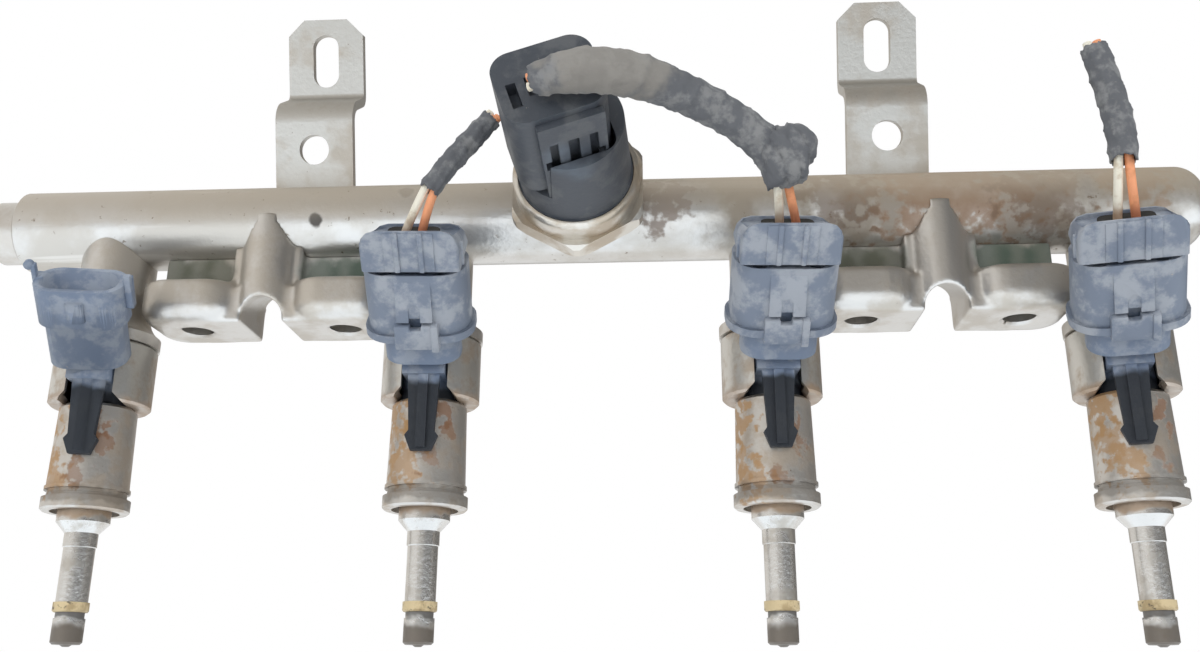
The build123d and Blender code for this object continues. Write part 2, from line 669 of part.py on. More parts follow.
def make_socket():
    """The injector's overmould with its keyed socket and locking tongue."""
    stem = INLET_STEM_D / 2 + FIT_GAP
    front = -SOCKET_DEPTH / 2
    inner_w = SOCKET_WIDTH - 2 * SOCKET_WALL
    inner_d = SOCKET_DEPTH - 2 * SOCKET_WALL
    collar_low = BODY_TOP_Z + FIT_GAP
    with BuildPart() as socket:
        with BuildSketch(socket_plane(-SOCKET_ROOT_DROP)):
            RectangleRounded(SOCKET_LOWER_WIDTH, SOCKET_LOWER_DEPTH, SOCKET_CORNER)
        extrude(amount=SOCKET_STEP + SOCKET_ROOT_DROP)
        with BuildSketch(socket_plane(SOCKET_STEP)):
            RectangleRounded(SOCKET_WIDTH, SOCKET_DEPTH, SOCKET_CORNER)
        extrude(amount=SOCKET_RIM - SOCKET_STEP)
        with BuildSketch(socket_plane(NUB_LOW)):
            with Locations((0, front)):
                RectangleRounded(NUB_WIDTH, 2 * NUB_PROUD, NUB_PROUD * 0.9)
        extrude(amount=NUB_HIGH - NUB_LOW)
        with BuildSketch(socket_plane(KEY_LOW)):
            with Locations((0, KEY_OFFSET)):
                Rectangle(SOCKET_WIDTH + 2 * KEY_PROUD, KEY_DEPTH)
        extrude(amount=KEY_HIGH - KEY_LOW)
        with BuildSketch(socket_plane(SOCKET_RIM)):
            RectangleRounded(inner_w, inner_d, SOCKET_CORNER - SOCKET_WALL)
        extrude(amount=-SOCKET_CAVITY, mode=Mode.SUBTRACT)
        with BuildSketch(Plane.XY.offset(BODY_TOP_Z)):
            Circle(CLIP_CLEARANCE_D / 2)
        extrude(amount=CUP_FLARE_Z - BODY_TOP_Z, mode=Mode.SUBTRACT)
        with BuildSketch(Plane.XY.offset(collar_low)):
            Circle(COLLAR_PLASTIC_D / 2)
        extrude(amount=COLLAR_PLASTIC_TOP_Z - collar_low)
        with BuildSketch(Plane.XY.offset(NECK_LOW_Z)):
            with Locations((0, NECK_FRONT_Y / 2)):
                Rectangle(2 * NECK_HALF_WIDTH, -NECK_FRONT_Y)
        extrude(amount=NECK_TOP_Z - NECK_LOW_Z)
        with BuildSketch(Plane.XZ.offset(-TONGUE_BACK_Y)):
            with BuildLine():
                Polyline(
                    (-TONGUE_TOP_HALF_WIDTH, NECK_LOW_Z + 1),
                    (TONGUE_TOP_HALF_WIDTH, NECK_LOW_Z + 1),
                    (TONGUE_MID_HALF_WIDTH, TONGUE_HEAD_Z + 1.2),
                    (TONGUE_HEAD_HALF_WIDTH, TONGUE_HEAD_Z),
                    (TONGUE_TIP_HALF_WIDTH, TONGUE_LOW_Z),
                    (-TONGUE_TIP_HALF_WIDTH, TONGUE_LOW_Z),
                    (-TONGUE_HEAD_HALF_WIDTH, TONGUE_HEAD_Z),
                    (-TONGUE_MID_HALF_WIDTH, TONGUE_HEAD_Z + 1.2),
                    close=True,
                )
            make_face()
        extrude(amount=TONGUE_BACK_Y - TONGUE_FRONT_Y)
        with BuildSketch(Plane.XY.offset(TONGUE_LOW_Z + 0.6)):
            with Locations((0, (TONGUE_BACK_Y + TONGUE_RIB_Y) / 2)):
                Rectangle(2 * TONGUE_RIB_HALF_WIDTH, TONGUE_BACK_Y - TONGUE_RIB_Y)
        extrude(amount=NECK_LOW_Z + 1 - TONGUE_LOW_Z - 0.6)
        with BuildSketch(Plane.XY.offset(BODY_TOP_Z)):
            Circle(stem)
        extrude(amount=-BODY_TOP_Z, mode=Mode.SUBTRACT)
        with BuildSketch(socket_plane(SOCKET_RIM - SOCKET_CAVITY)):
            with Locations((-PIN_HALF_SPACING, 0), (PIN_HALF_SPACING, 0)):
                Rectangle(PIN_WIDTH + BRAZE_GAP * 2, PIN_THICK + BRAZE_GAP * 2)
        extrude(amount=-PIN_SINK, mode=Mode.SUBTRACT)
    return socket.part


def make_pins():
    """The two blade terminals of one socket."""
    low = SOCKET_RIM - SOCKET_CAVITY - PIN_SINK
    with BuildPart() as pins:
        with BuildSketch(socket_plane(low)):
            with Locations((-PIN_HALF_SPACING, 0), (PIN_HALF_SPACING, 0)):
                Rectangle(PIN_WIDTH, PIN_THICK)
        extrude(amount=PIN_HIGH - low)
    return pins.part


def make_plug():
    """The mating plug of an injector, with its latch and open hood."""
    inner_w = SOCKET_WIDTH + 2 * PLASTIC_GAP
    inner_d = SOCKET_DEPTH + 2 * PLASTIC_GAP
    outer_w = inner_w + 2 * PLUG_WALL
    outer_d = inner_d + 2 * PLUG_WALL
    core_w = SOCKET_WIDTH - 2 * SOCKET_WALL - 2 * PLASTIC_GAP
    core_d = SOCKET_DEPTH - 2 * SOCKET_WALL - 2 * PLASTIC_GAP
    core_corner = SOCKET_CORNER - SOCKET_WALL - PLASTIC_GAP
    front = -outer_d / 2
    rim = SOCKET_RIM + PLASTIC_GAP
    hood_d = HOOD_FRONT + HOOD_BACK
    hood_mid = (HOOD_BACK - HOOD_FRONT) / 2
    latch_reach = PLUG_WALL + LATCH_PROUD
    bridge_reach = PLUG_WALL + BRIDGE_PROUD
    key_w = SOCKET_WIDTH + 2 * KEY_PROUD + 2 * PLASTIC_GAP
    nub_w = NUB_WIDTH + 2 * PLASTIC_GAP
    nub_d = 2 * NUB_PROUD + 2 * PLASTIC_GAP
    slit = LATCH_HALF_WIDTH + LATCH_SLIT / 2
    with BuildPart() as plug:
        with BuildSketch(socket_plane(PLUG_LOW)):
            RectangleRounded(outer_w, outer_d, PLUG_CORNER)
        extrude(amount=PLUG_WAIST - PLUG_LOW)
        with BuildSketch(socket_plane(PLUG_LOW)):
            RectangleRounded(outer_w + 2 * SKIRT_PROUD, outer_d + 2 * SKIRT_PROUD, PLUG_CORNER + SKIRT_PROUD)
        extrude(amount=SKIRT_HEIGHT)
        with BuildSketch(socket_plane(PLUG_WAIST)):
            with Locations((0, WAIST_CUT / 2)):
                RectangleRounded(HOOD_WIDTH - 2, outer_d - WAIST_CUT, HOOD_BEVEL)
        extrude(amount=PLUG_HOOD_LOW - PLUG_WAIST)
        with BuildSketch(socket_plane(PLUG_HOOD_LOW)):
            with Locations((0, hood_mid)):
                RectangleRounded(HOOD_WIDTH, hood_d, HOOD_BEVEL)
        extrude(amount=PLUG_TOP - PLUG_HOOD_LOW)
        with BuildSketch(socket_plane(PLUG_HOOD_LOW)):
            for offset in HOOD_RIB_HALF_SPACINGS:
                with Locations((-offset, -HOOD_FRONT), (offset, -HOOD_FRONT)):
                    Rectangle(HOOD_RIB_WIDTH, 2 * HOOD_RIB_PROUD)
        extrude(amount=PLUG_TOP - PLUG_HOOD_LOW)
        with BuildSketch(socket_plane(LATCH_LOW)):
            with Locations((0, front + PLUG_WALL / 2 - LATCH_PROUD / 2)):
                Rectangle(2 * LATCH_HALF_WIDTH, latch_reach)
        extrude(amount=PLUG_WAIST - LATCH_LOW)
        with BuildSketch(socket_plane(BRIDGE_LOW)):
            with Locations((0, front + PLUG_WALL / 2 - BRIDGE_PROUD / 2)):
                Rectangle(2 * BRIDGE_HALF_WIDTH, bridge_reach)
        extrude(amount=BRIDGE_HIGH - BRIDGE_LOW)
        with BuildSketch(socket_plane(PLUG_LOW - 2)):
            RectangleRounded(inner_w, inner_d, SOCKET_CORNER + PLASTIC_GAP)
        extrude(amount=rim - PLUG_LOW + 2, mode=Mode.SUBTRACT)
        with BuildSketch(socket_plane(PLUG_LOW - 2)):
            with Locations((0, KEY_OFFSET)):
                Rectangle(key_w, KEY_DEPTH + 2 * PLASTIC_GAP)
            with Locations((0, -SOCKET_DEPTH / 2)):
                Rectangle(nub_w, nub_d)
        extrude(amount=rim - PLUG_LOW + 2, mode=Mode.SUBTRACT)
        with BuildSketch(socket_plane(PLUG_CORE_LOW)):
            RectangleRounded(core_w, core_d, core_corner)
        extrude(amount=rim + 1 - PLUG_CORE_LOW)
        with BuildSketch(socket_plane(PLUG_CORE_LOW)):
            with Locations((-PIN_HALF_SPACING, 0), (PIN_HALF_SPACING, 0)):
                Rectangle(PIN_WIDTH + PLASTIC_GAP, PIN_THICK + PLASTIC_GAP)
        extrude(amount=PIN_HIGH + 1 - PLUG_CORE_LOW, mode=Mode.SUBTRACT)
        with BuildSketch(socket_plane(NOTCH_LOW)):
            with Locations((0, front)):
                Rectangle(2 * NOTCH_HALF_WIDTH, 2 * BRIDGE_PROUD + 1)
        extrude(amount=NOTCH_HIGH - NOTCH_LOW, mode=Mode.SUBTRACT)
        with BuildSketch(socket_plane(BRIDGE_HIGH + 1)):
            with Locations((-slit, front), (slit, front)):
                Rectangle(LATCH_SLIT, 2 * PLUG_WALL)
        extrude(amount=PLUG_WAIST - BRIDGE_HIGH - 1, mode=Mode.SUBTRACT)
        with BuildSketch(socket_plane(HOOD_FLOOR)):
            with Locations((0, hood_mid)):
                RectangleRounded(HOOD_WIDTH - 2 * HOOD_WALL, hood_d - 2 * HOOD_WALL, HOOD_BEVEL - HOOD_WALL)
        extrude(amount=PLUG_TOP - HOOD_FLOOR, mode=Mode.SUBTRACT)
        with BuildSketch(socket_plane(PLUG_TOP - PLUG_REAR_DROP)):
            with Locations((0, HOOD_BACK)):
                Rectangle(HOOD_WIDTH, 2 * HOOD_BACK)
        extrude(amount=PLUG_REAR_DROP, mode=Mode.SUBTRACT)
        with BuildSketch(socket_plane(WIRE_START - FIT_GAP)):
            with Locations((-WIRE_PLUG_HALF_PITCH, 0), (WIRE_PLUG_HALF_PITCH, 0)):
                Circle(WIRE_D / 2 + FIT_GAP)
        extrude(amount=HOOD_FLOOR - WIRE_START + FIT_GAP, mode=Mode.SUBTRACT)
    return plug.part


def make_plug_seal():
    """The grommet block round the two wires in a plug's hood."""
    with BuildPart() as seal:
        with BuildSketch(socket_plane(HOOD_FLOOR + BRAZE_GAP)):
            RectangleRounded(SEAL_WIDTH, SEAL_DEPTH, SEAL_DEPTH / 3)
            with Locations((-WIRE_PLUG_HALF_PITCH, 0), (WIRE_PLUG_HALF_PITCH, 0)):
                Circle(WIRE_D / 2 + FIT_GAP, mode=Mode.SUBTRACT)
        extrude(amount=SEAL_THICK)
    return seal.part


def make_sensor_boss():
    """The round boss brazed to the tube for the pressure sensor."""
    with BuildPart() as boss:
        with BuildSketch(sensor_plane(SENSOR_BOSS_BACK)):
            Circle(SENSOR_BOSS_D / 2)
        extrude(amount=SENSOR_BOSS_FACE - SENSOR_BOSS_BACK)
        with BuildSketch(sensor_plane(SENSOR_BOSS_BACK)):
            Circle(SENSOR_SPIGOT_D / 2 + FIT_GAP)
        extrude(amount=SENSOR_BOSS_FACE - SENSOR_BOSS_BACK, mode=Mode.SUBTRACT)
        add(tube_cutter(), mode=Mode.SUBTRACT)
    return boss.part


def make_hexagon_limit():
    """The chamfered turning that bevels the sensor's hexagon."""
    low = SENSOR_BOSS_FACE + BRAZE_GAP
    with BuildPart() as limit:
        with BuildSketch(sensor_plane(low)):
            Circle(SENSOR_HEX_AC / 2)
        extrude(amount=SENSOR_HEX_HIGH - low)
        chamfer(limit.edges().filter_by(GeomType.CIRCLE), SENSOR_HEX_CHAMFER)
    return limit.part


def make_sensor_port():
    """The sensor's steel spigot, hexagon and crimped ring in one piece."""
    low = SENSOR_BOSS_FACE + BRAZE_GAP
    limit = make_hexagon_limit()
    with BuildPart() as port:
        with BuildSketch(sensor_plane(low)):
            RegularPolygon(SENSOR_HEX_AF / 2, 6, major_radius=False, rotation=30)
        extrude(amount=SENSOR_HEX_HIGH - low)
        add(limit, mode=Mode.INTERSECT)
        with BuildSketch(sensor_plane(SENSOR_HEX_HIGH)):
            Circle(SENSOR_CRIMP_D / 2)
        extrude(amount=SENSOR_CRIMP_HIGH - SENSOR_HEX_HIGH)
        rims = port.edges().filter_by(GeomType.CIRCLE).sort_by(Axis.Y)
        fillet(rims[0], SENSOR_CRIMP_ROUND)
        with BuildSketch(sensor_plane(SENSOR_SPIGOT_LOW)):
            Circle(SENSOR_SPIGOT_D / 2)
        extrude(amount=low - SENSOR_SPIGOT_LOW)
        with BuildSketch(sensor_plane(SENSOR_CRIMP_HIGH)):
            Circle(SENSOR_CRIMP_BORE_D / 2)
        extrude(amount=-SENSOR_CRIMP_DEPTH, mode=Mode.SUBTRACT)
        with BuildSketch(sensor_plane(SENSOR_SPIGOT_LOW)):
            Circle(SENSOR_PASSAGE_D / 2)
        extrude(amount=SENSOR_CRIMP_HIGH - SENSOR_CRIMP_DEPTH - 1 - SENSOR_SPIGOT_LOW, mode=Mode.SUBTRACT)
    return port.part


def make_sensor_housing():
    """The sensor's plastic housing, with its offset connector tower."""
    base = SENSOR_CRIMP_HIGH - SENSOR_CRIMP_DEPTH + BRAZE_GAP
    plug_w = SENSOR_PLUG_WIDTH + 2 * PLASTIC_GAP
    plug_h = SENSOR_PLUG_HEIGHT + 2 * (FACE_PLATE_PROUD + PLASTIC_GAP)
    with BuildPart() as housing:
        with BuildSketch(sensor_plane(base)):
            Circle(HOUSING_BASE_D / 2)
        extrude(amount=SENSOR_CRIMP_HIGH - base)
        with BuildSketch(sensor_plane(SENSOR_CRIMP_HIGH)):
            Circle(HOUSING_BASE_D / 2 - PLASTIC_GAP)
        with BuildSketch(sensor_plane(HOUSING_TOP)):
            Circle(HOUSING_TOP_D / 2)
        loft()
        with BuildSketch(tower_plane(FACE_PLATE_LOW - PLASTIC_GAP)):
            RectangleRounded(plug_w, plug_h, TOWER_CORNER)
        extrude(amount=HOUSING_TOP - FACE_PLATE_LOW + 1, mode=Mode.SUBTRACT)
        with BuildSketch(tower_plane(SENSOR_CRIMP_HIGH)):
            RectangleRounded(TOWER_WIDTH, TOWER_HEIGHT, TOWER_CORNER)
        extrude(amount=TOWER_TOP - SENSOR_CRIMP_HIGH)
        with BuildSketch(tower_plane(TOWER_TOP)):
            RectangleRounded(TOWER_WIDTH - 2 * TOWER_WALL, TOWER_HEIGHT - 2 * TOWER_WALL, TOWER_CORNER - TOWER_WALL)
        extrude(amount=-TOWER_CAVITY, mode=Mode.SUBTRACT)
    return housing.part


def make_sensor_plug():
    """The sensor's mating plug, with a latch window below and two windows at its wire end."""
    inner_w = TOWER_WIDTH + 2 * FIT_GAP
    inner_h = TOWER_HEIGHT + 2 * FIT_GAP
    core_w = TOWER_WIDTH - 2 * TOWER_WALL - 2 * PLASTIC_GAP
    core_h = TOWER_HEIGHT - 2 * TOWER_WALL - 2 * PLASTIC_GAP
    top = TOWER_TOP + FIT_GAP
    face = -SENSOR_PLUG_HEIGHT / 2
    recess_mid = face - FACE_PLATE_PROUD + RECESS_DEPTH / 2
    with BuildPart() as plug:
        with BuildSketch(tower_plane(SENSOR_PLUG_LOW)):
            RectangleRounded(SENSOR_PLUG_WIDTH, SENSOR_PLUG_HEIGHT, SENSOR_PLUG_CORNER)
        extrude(amount=SENSOR_PLUG_TOP - SENSOR_PLUG_LOW)
        with BuildSketch(tower_plane(FACE_PLATE_LOW)):
            with Locations((FACE_PLATE_SHIFT, face - FACE_PLATE_PROUD / 2)):
                Rectangle(FACE_PLATE_WIDTH, FACE_PLATE_PROUD)
        extrude(amount=SENSOR_PLUG_TOP - FACE_PLATE_LOW - 2)
        with BuildSketch(tower_plane(SENSOR_PLUG_LOW)):
            RectangleRounded(inner_w, inner_h, TOWER_CORNER)
        extrude(amount=top - SENSOR_PLUG_LOW, mode=Mode.SUBTRACT)
        with BuildSketch(tower_plane(SENSOR_PLUG_CORE_LOW)):
            RectangleRounded(core_w, core_h, TOWER_CORNER - TOWER_WALL - FIT_GAP)
        extrude(amount=top + 1 - SENSOR_PLUG_CORE_LOW)
        for place, size in zip(WINDOW_PLACES, WINDOW_SIZES):
            with BuildSketch(tower_plane(SENSOR_PLUG_TOP)):
                with Locations(place):
                    Rectangle(size[0], size[1])
            extrude(amount=-WINDOW_DEPTH, mode=Mode.SUBTRACT)
        with BuildSketch(tower_plane(RECESS_LOW)):
            with Locations((FACE_PLATE_SHIFT, recess_mid)):
                Rectangle(RECESS_WIDTH, RECESS_DEPTH)
        extrude(amount=RECESS_HIGH - RECESS_LOW, mode=Mode.SUBTRACT)
        with BuildSketch(tower_plane(RECESS_STUB_LOW)):
            with Locations((FACE_PLATE_SHIFT, recess_mid)):
                Rectangle(RECESS_STUB_WIDTH, RECESS_DEPTH)
        extrude(amount=RECESS_STUB_HIGH - RECESS_STUB_LOW, mode=Mode.SUBTRACT)
        left = FACE_PLATE_SHIFT - RECESS_FINGER_OFFSET
        right = FACE_PLATE_SHIFT + RECESS_FINGER_OFFSET
        with BuildSketch(tower_plane(RECESS_FINGER_LOW)):
            with Locations((left, recess_mid), (right, recess_mid)):
                Rectangle(RECESS_FINGER_WIDTH, RECESS_DEPTH - PLASTIC_GAP)
        extrude(amount=RECESS_HIGH - RECESS_FINGER_LOW)
    return plug.part


def wire_entry(index, side, height):
    """A point on a wire inside the hood of one injector plug."""
    local = socket_plane(height) * Location((side * WIRE_PLUG_HALF_PITCH, 0, 0))
    spot = Location((INJECTOR_X[index], 0, 0), (0, 0, INJECTOR_TURN[index])) * local
    return spot.position


def wire_route(route, side):
    """The points of one wire beside its loom's centre line, and a little past its end."""
    points = []
    for before, here, after in zip([route[0]] + route[:-1], route, route[1:] + [route[-1]]):
        run = (Vector(after) - Vector(before)).normalized()
        across = Vector(run.Z, 0, -run.X).normalized()
        points.append(Vector(here) + across * (side * WIRE_HALF_PITCH))
    last_run = (Vector(route[-1]) - Vector(route[-2])).normalized()
    points.append(points[-1] + last_run * WIRE_STUB)
    return points


def make_wire(index, side, route):
    """One wire, straight through its plug's hood and then along its loom."""
    seal_top = HOOD_FLOOR + SEAL_THICK
    heights = [WIRE_START, HOOD_FLOOR - 1, HOOD_FLOOR + SEAL_THICK / 2, seal_top]
    points = [wire_entry(index, side, height) for height in heights] + wire_route(route, side)
    start = points[0]
    axis = (points[1] - start).normalized()
    last_run = (points[-1] - points[-2]).normalized()
    with BuildPart() as wire:
        with BuildLine() as path:
            Spline(*points, tangents=(axis, last_run))
        with BuildSketch(Plane(origin=start, z_dir=axis)):
            Circle(WIRE_D / 2)
        sweep(path=path.line)
    return wire.part


def make_tape(route, diameter):
    """A hollow tape wrap round two wires."""
    with BuildPart() as tape:
        with BuildLine() as path:
            Spline(*route)
        with BuildSketch(Plane(origin=path.line @ 0, z_dir=path.line % 0)):
            Circle(diameter / 2)
            Circle(TAPE_BORE_D / 2, mode=Mode.SUBTRACT)
        sweep(path=path.line)
    return tape.part


def make_sensor_tape():
    """The third loom's wrap, folded into a lump near its plug."""
    with BuildPart() as tape:
        add(make_tape(ROUTE_3, TAPE_3_D))
        with Locations(TAPE_LUMP_PLACE):
            Sphere(TAPE_LUMP_D / 2)
        with BuildLine() as path:
            Spline(*ROUTE_3)
        with BuildSketch(Plane(origin=path.line @ 0, z_dir=path.line % 0)):
            Circle(TAPE_BORE_D / 2)
        sweep(path=path.line, mode=Mode.SUBTRACT)
    return tape.part


# Rail, fitting, saddles, brackets and sensor
save(make_rail_tube(), "rail_tube")
save(make_inlet_fitting(), "inlet_fitting")
saddle = make_saddle()
save(saddle.moved(Location((-SADDLE_X, 0, 0))), "mount_saddle_left")
save(saddle.moved(Location((SADDLE_X, 0, 0))), "mount_saddle_right")
bracket = make_bracket()
save(bracket.moved(Location((BRACKET_X[0], 0, 0))), "cover_bracket_left")
save(bracket.moved(Location((BRACKET_X[1], 0, 0))), "cover_bracket_right")
save(make_sensor_boss(), "sensor_boss")
save(make_sensor_port(), "sensor_port")
save(make_sensor_housing(), "sensor_housing")
save(make_sensor_plug(), "sensor_plug")

# Injectors, each turned about its own axis
makers = {
    "inlet_tube": make_inlet_tube,
    "solenoid_body": make_solenoid_body,
    "support_ring": make_support_ring,
    "nozzle": make_nozzle,
    "tip_seal": make_tip_seal,
    "hold_clip": make_hold_clip,
    "socket": make_socket,
}
places = [Location((x, 0, 0), (0, 0, turn)) for x, turn in zip(INJECTOR_X, INJECTOR_TURN)]
cup = make_injector_cup()
for number, x in enumerate(INJECTOR_X, start=1):
    save(cup.moved(Location((x, 0, 0))), f"injector_cup_{number}")
for name, maker in makers.items():
    blank = maker()
    for number, place in enumerate(places, start=1):
        save(blank.moved(place), f"{name}_{number}")

# O-rings and terminals, alike pieces kept together
o_ring_centre = (O_RING_GROOVE_D + CUP_BORE_D) / 4
with BuildPart() as o_rings:
    with Locations(*[(x, 0, O_RING_Z) for x in INJECTOR_X]):
        Torus(o_ring_centre, O_RING_SECTION_D / 2)
save(o_rings.part, "cup_o_rings")

pins = make_pins()
with BuildPart() as socket_pins:
    for place in places:
        add(pins.moved(place))
save(socket_pins.part, "socket_pins")

# Plugs on the second, third and fourth injectors
plug = make_plug()
seal = make_plug_seal()
for number in (2, 3, 4):
    save(plug.moved(places[number - 1]), f"plug_{number}")
with BuildPart() as plug_seals:
    for place in places[1:]:
        add(seal.moved(place))
save(plug_seals.part, "plug_seals")

# Wiring
looms = {2: (ROUTE_2, TAPE_2_D), 3: (ROUTE_3, TAPE_3_D), 4: (ROUTE_4, TAPE_4_D)}
for number, (route, tape_d) in looms.items():
    save(make_wire(number - 1, -1, route), f"cream_wire_{number}")
    save(make_wire(number - 1, 1, route), f"orange_wire_{number}")
    save(make_sensor_tape() if number == 3 else make_tape(route, tape_d), f"tape_{number}")

print("cord radii", WIRE_D / 2, TAPE_2_D / 2, TAPE_3_D / 2, TAPE_4_D / 2)
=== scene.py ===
"""Looks of a used direct-injection fuel rail with its injectors, sensor and cut loom."""

from __future__ import annotations

import json
import logging
import math
import random
from collections.abc import Callable
from dataclasses import dataclass, field
from enum import Enum

import bmesh
import bpy
from mathutils import Matrix, Vector

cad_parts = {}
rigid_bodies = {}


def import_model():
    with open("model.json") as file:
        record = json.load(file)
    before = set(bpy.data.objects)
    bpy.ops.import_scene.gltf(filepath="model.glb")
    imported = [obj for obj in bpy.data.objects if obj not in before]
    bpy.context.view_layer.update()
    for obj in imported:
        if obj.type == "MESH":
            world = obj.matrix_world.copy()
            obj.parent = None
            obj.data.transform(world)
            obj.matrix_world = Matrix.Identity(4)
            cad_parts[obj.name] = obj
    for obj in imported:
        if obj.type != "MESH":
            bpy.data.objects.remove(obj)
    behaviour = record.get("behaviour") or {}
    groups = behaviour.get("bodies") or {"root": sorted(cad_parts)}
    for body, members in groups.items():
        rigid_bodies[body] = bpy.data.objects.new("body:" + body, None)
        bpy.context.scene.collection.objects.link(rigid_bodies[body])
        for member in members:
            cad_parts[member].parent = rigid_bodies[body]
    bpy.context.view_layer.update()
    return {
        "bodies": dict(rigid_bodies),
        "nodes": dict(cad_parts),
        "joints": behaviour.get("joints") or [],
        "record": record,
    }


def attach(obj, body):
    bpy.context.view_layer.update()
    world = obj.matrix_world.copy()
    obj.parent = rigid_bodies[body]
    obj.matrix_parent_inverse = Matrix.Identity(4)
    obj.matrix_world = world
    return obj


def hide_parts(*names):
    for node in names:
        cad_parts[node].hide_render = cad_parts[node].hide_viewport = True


LOG = logging.getLogger("fuel_rail")
Colour = tuple[float, float, float]
Point = tuple[float, float, float]

PointTest = Callable[[Vector], bool]

INJECTOR_X = (-0.1275, -0.0425, 0.0425, 0.1275)
INJECTOR_TURN = (11.0, 3.0, 3.0, -14.0)
SOCKET_TILT = 48.0
SOCKET_ROOT: Point = (0.0, -12.65, -8.77)
SADDLE_X = {"left": -0.08485, "right": 0.08485}
BOSS_X = 0.01945
MILLIMETRES = Matrix.Scale(0.001, 4)
SMOOTH_ANGLE = 0.7


class Coat(Enum):
    """How shiny a moulded or rubber surface is."""

    MATTE = 0.62
    SATIN = 0.48
    DULL = 0.8


def rgba(colour: Colour) -> tuple[float, float, float, float]:
    """A colour with full alpha."""
    return (colour[0], colour[1], colour[2], 1.0)


def socket_place(number: int) -> Matrix:
    """The turn from one injector's socket, in millimetres along its axis, to the part's frame in metres."""
    lean = math.radians(SOCKET_TILT)
    down, up = math.sin(lean), math.cos(lean)
    x, y, z = SOCKET_ROOT
    frame = Matrix(((1, 0, 0, x), (0, up, -down, y), (0, down, up, z), (0, 0, 0, 1)))
    turn = Matrix.Rotation(math.radians(INJECTOR_TURN[number - 1]), 4, "Z")
    return Matrix.Translation((INJECTOR_X[number - 1], 0.0, 0.0)) @ turn @ MILLIMETRES @ frame


@dataclass
class Graph:
    """A node tree with short calls for adding and linking its nodes."""

    tree: bpy.types.NodeTree

    def node(self, kind: str, **settings: object) -> bpy.types.Node:
        """Adds one node.

        Args:
            kind: The node's class name, without its ShaderNode prefix.
            settings: Properties of the node.

        Returns:
            The new node.
        """
        made = self.tree.nodes.new("ShaderNode" + kind)
        for name, value in settings.items():
            setattr(made, name, value)
        return made

    def link(self, output: bpy.types.NodeSocket, target: bpy.types.NodeSocket) -> None:
        """Joins an output to an input."""
        self.tree.links.new(output, target)

    def feed(self, target: bpy.types.NodeSocket, value: object) -> None:
        """Gives an input a constant or an output to read."""
        if isinstance(value, bpy.types.NodeSocket):
            self.link(value, target)
        else:
            target.default_value = value

    def maths(self, operation: str, first: object, second: object = 0.0) -> bpy.types.NodeSocket:
        """The output of a Math node with two inputs."""
        made = self.node("Math", operation=operation)
        self.feed(made.inputs[0], first)
        self.feed(made.inputs[1], second)
        return made.outputs[0]

    def ramp(self, value: object, low: float, high: float) -> bpy.types.NodeSocket:
        """A smooth step of a value from low to high.

        Args:
            value: The output that is read.
            low: Where the step starts.
            high: Where the step ends.

        Returns:
            The mask from 0 to 1.
        """
        made = self.node("MapRange", interpolation_type="SMOOTHSTEP")
        self.feed(made.inputs["Value"], value)
        self.feed(made.inputs["From Min"], low)
        self.feed(made.inputs["From Max"], high)
        return made.outputs["Result"]

    def mix(self, mask: object, first: object, second: object) -> bpy.types.NodeSocket:
        """The colour that lies between two by a mask."""
        made = self.node("Mix", data_type="RGBA")
        self.feed(made.inputs[0], mask)
        self.feed(made.inputs[6], first)
        self.feed(made.inputs[7], second)
        return made.outputs[2]


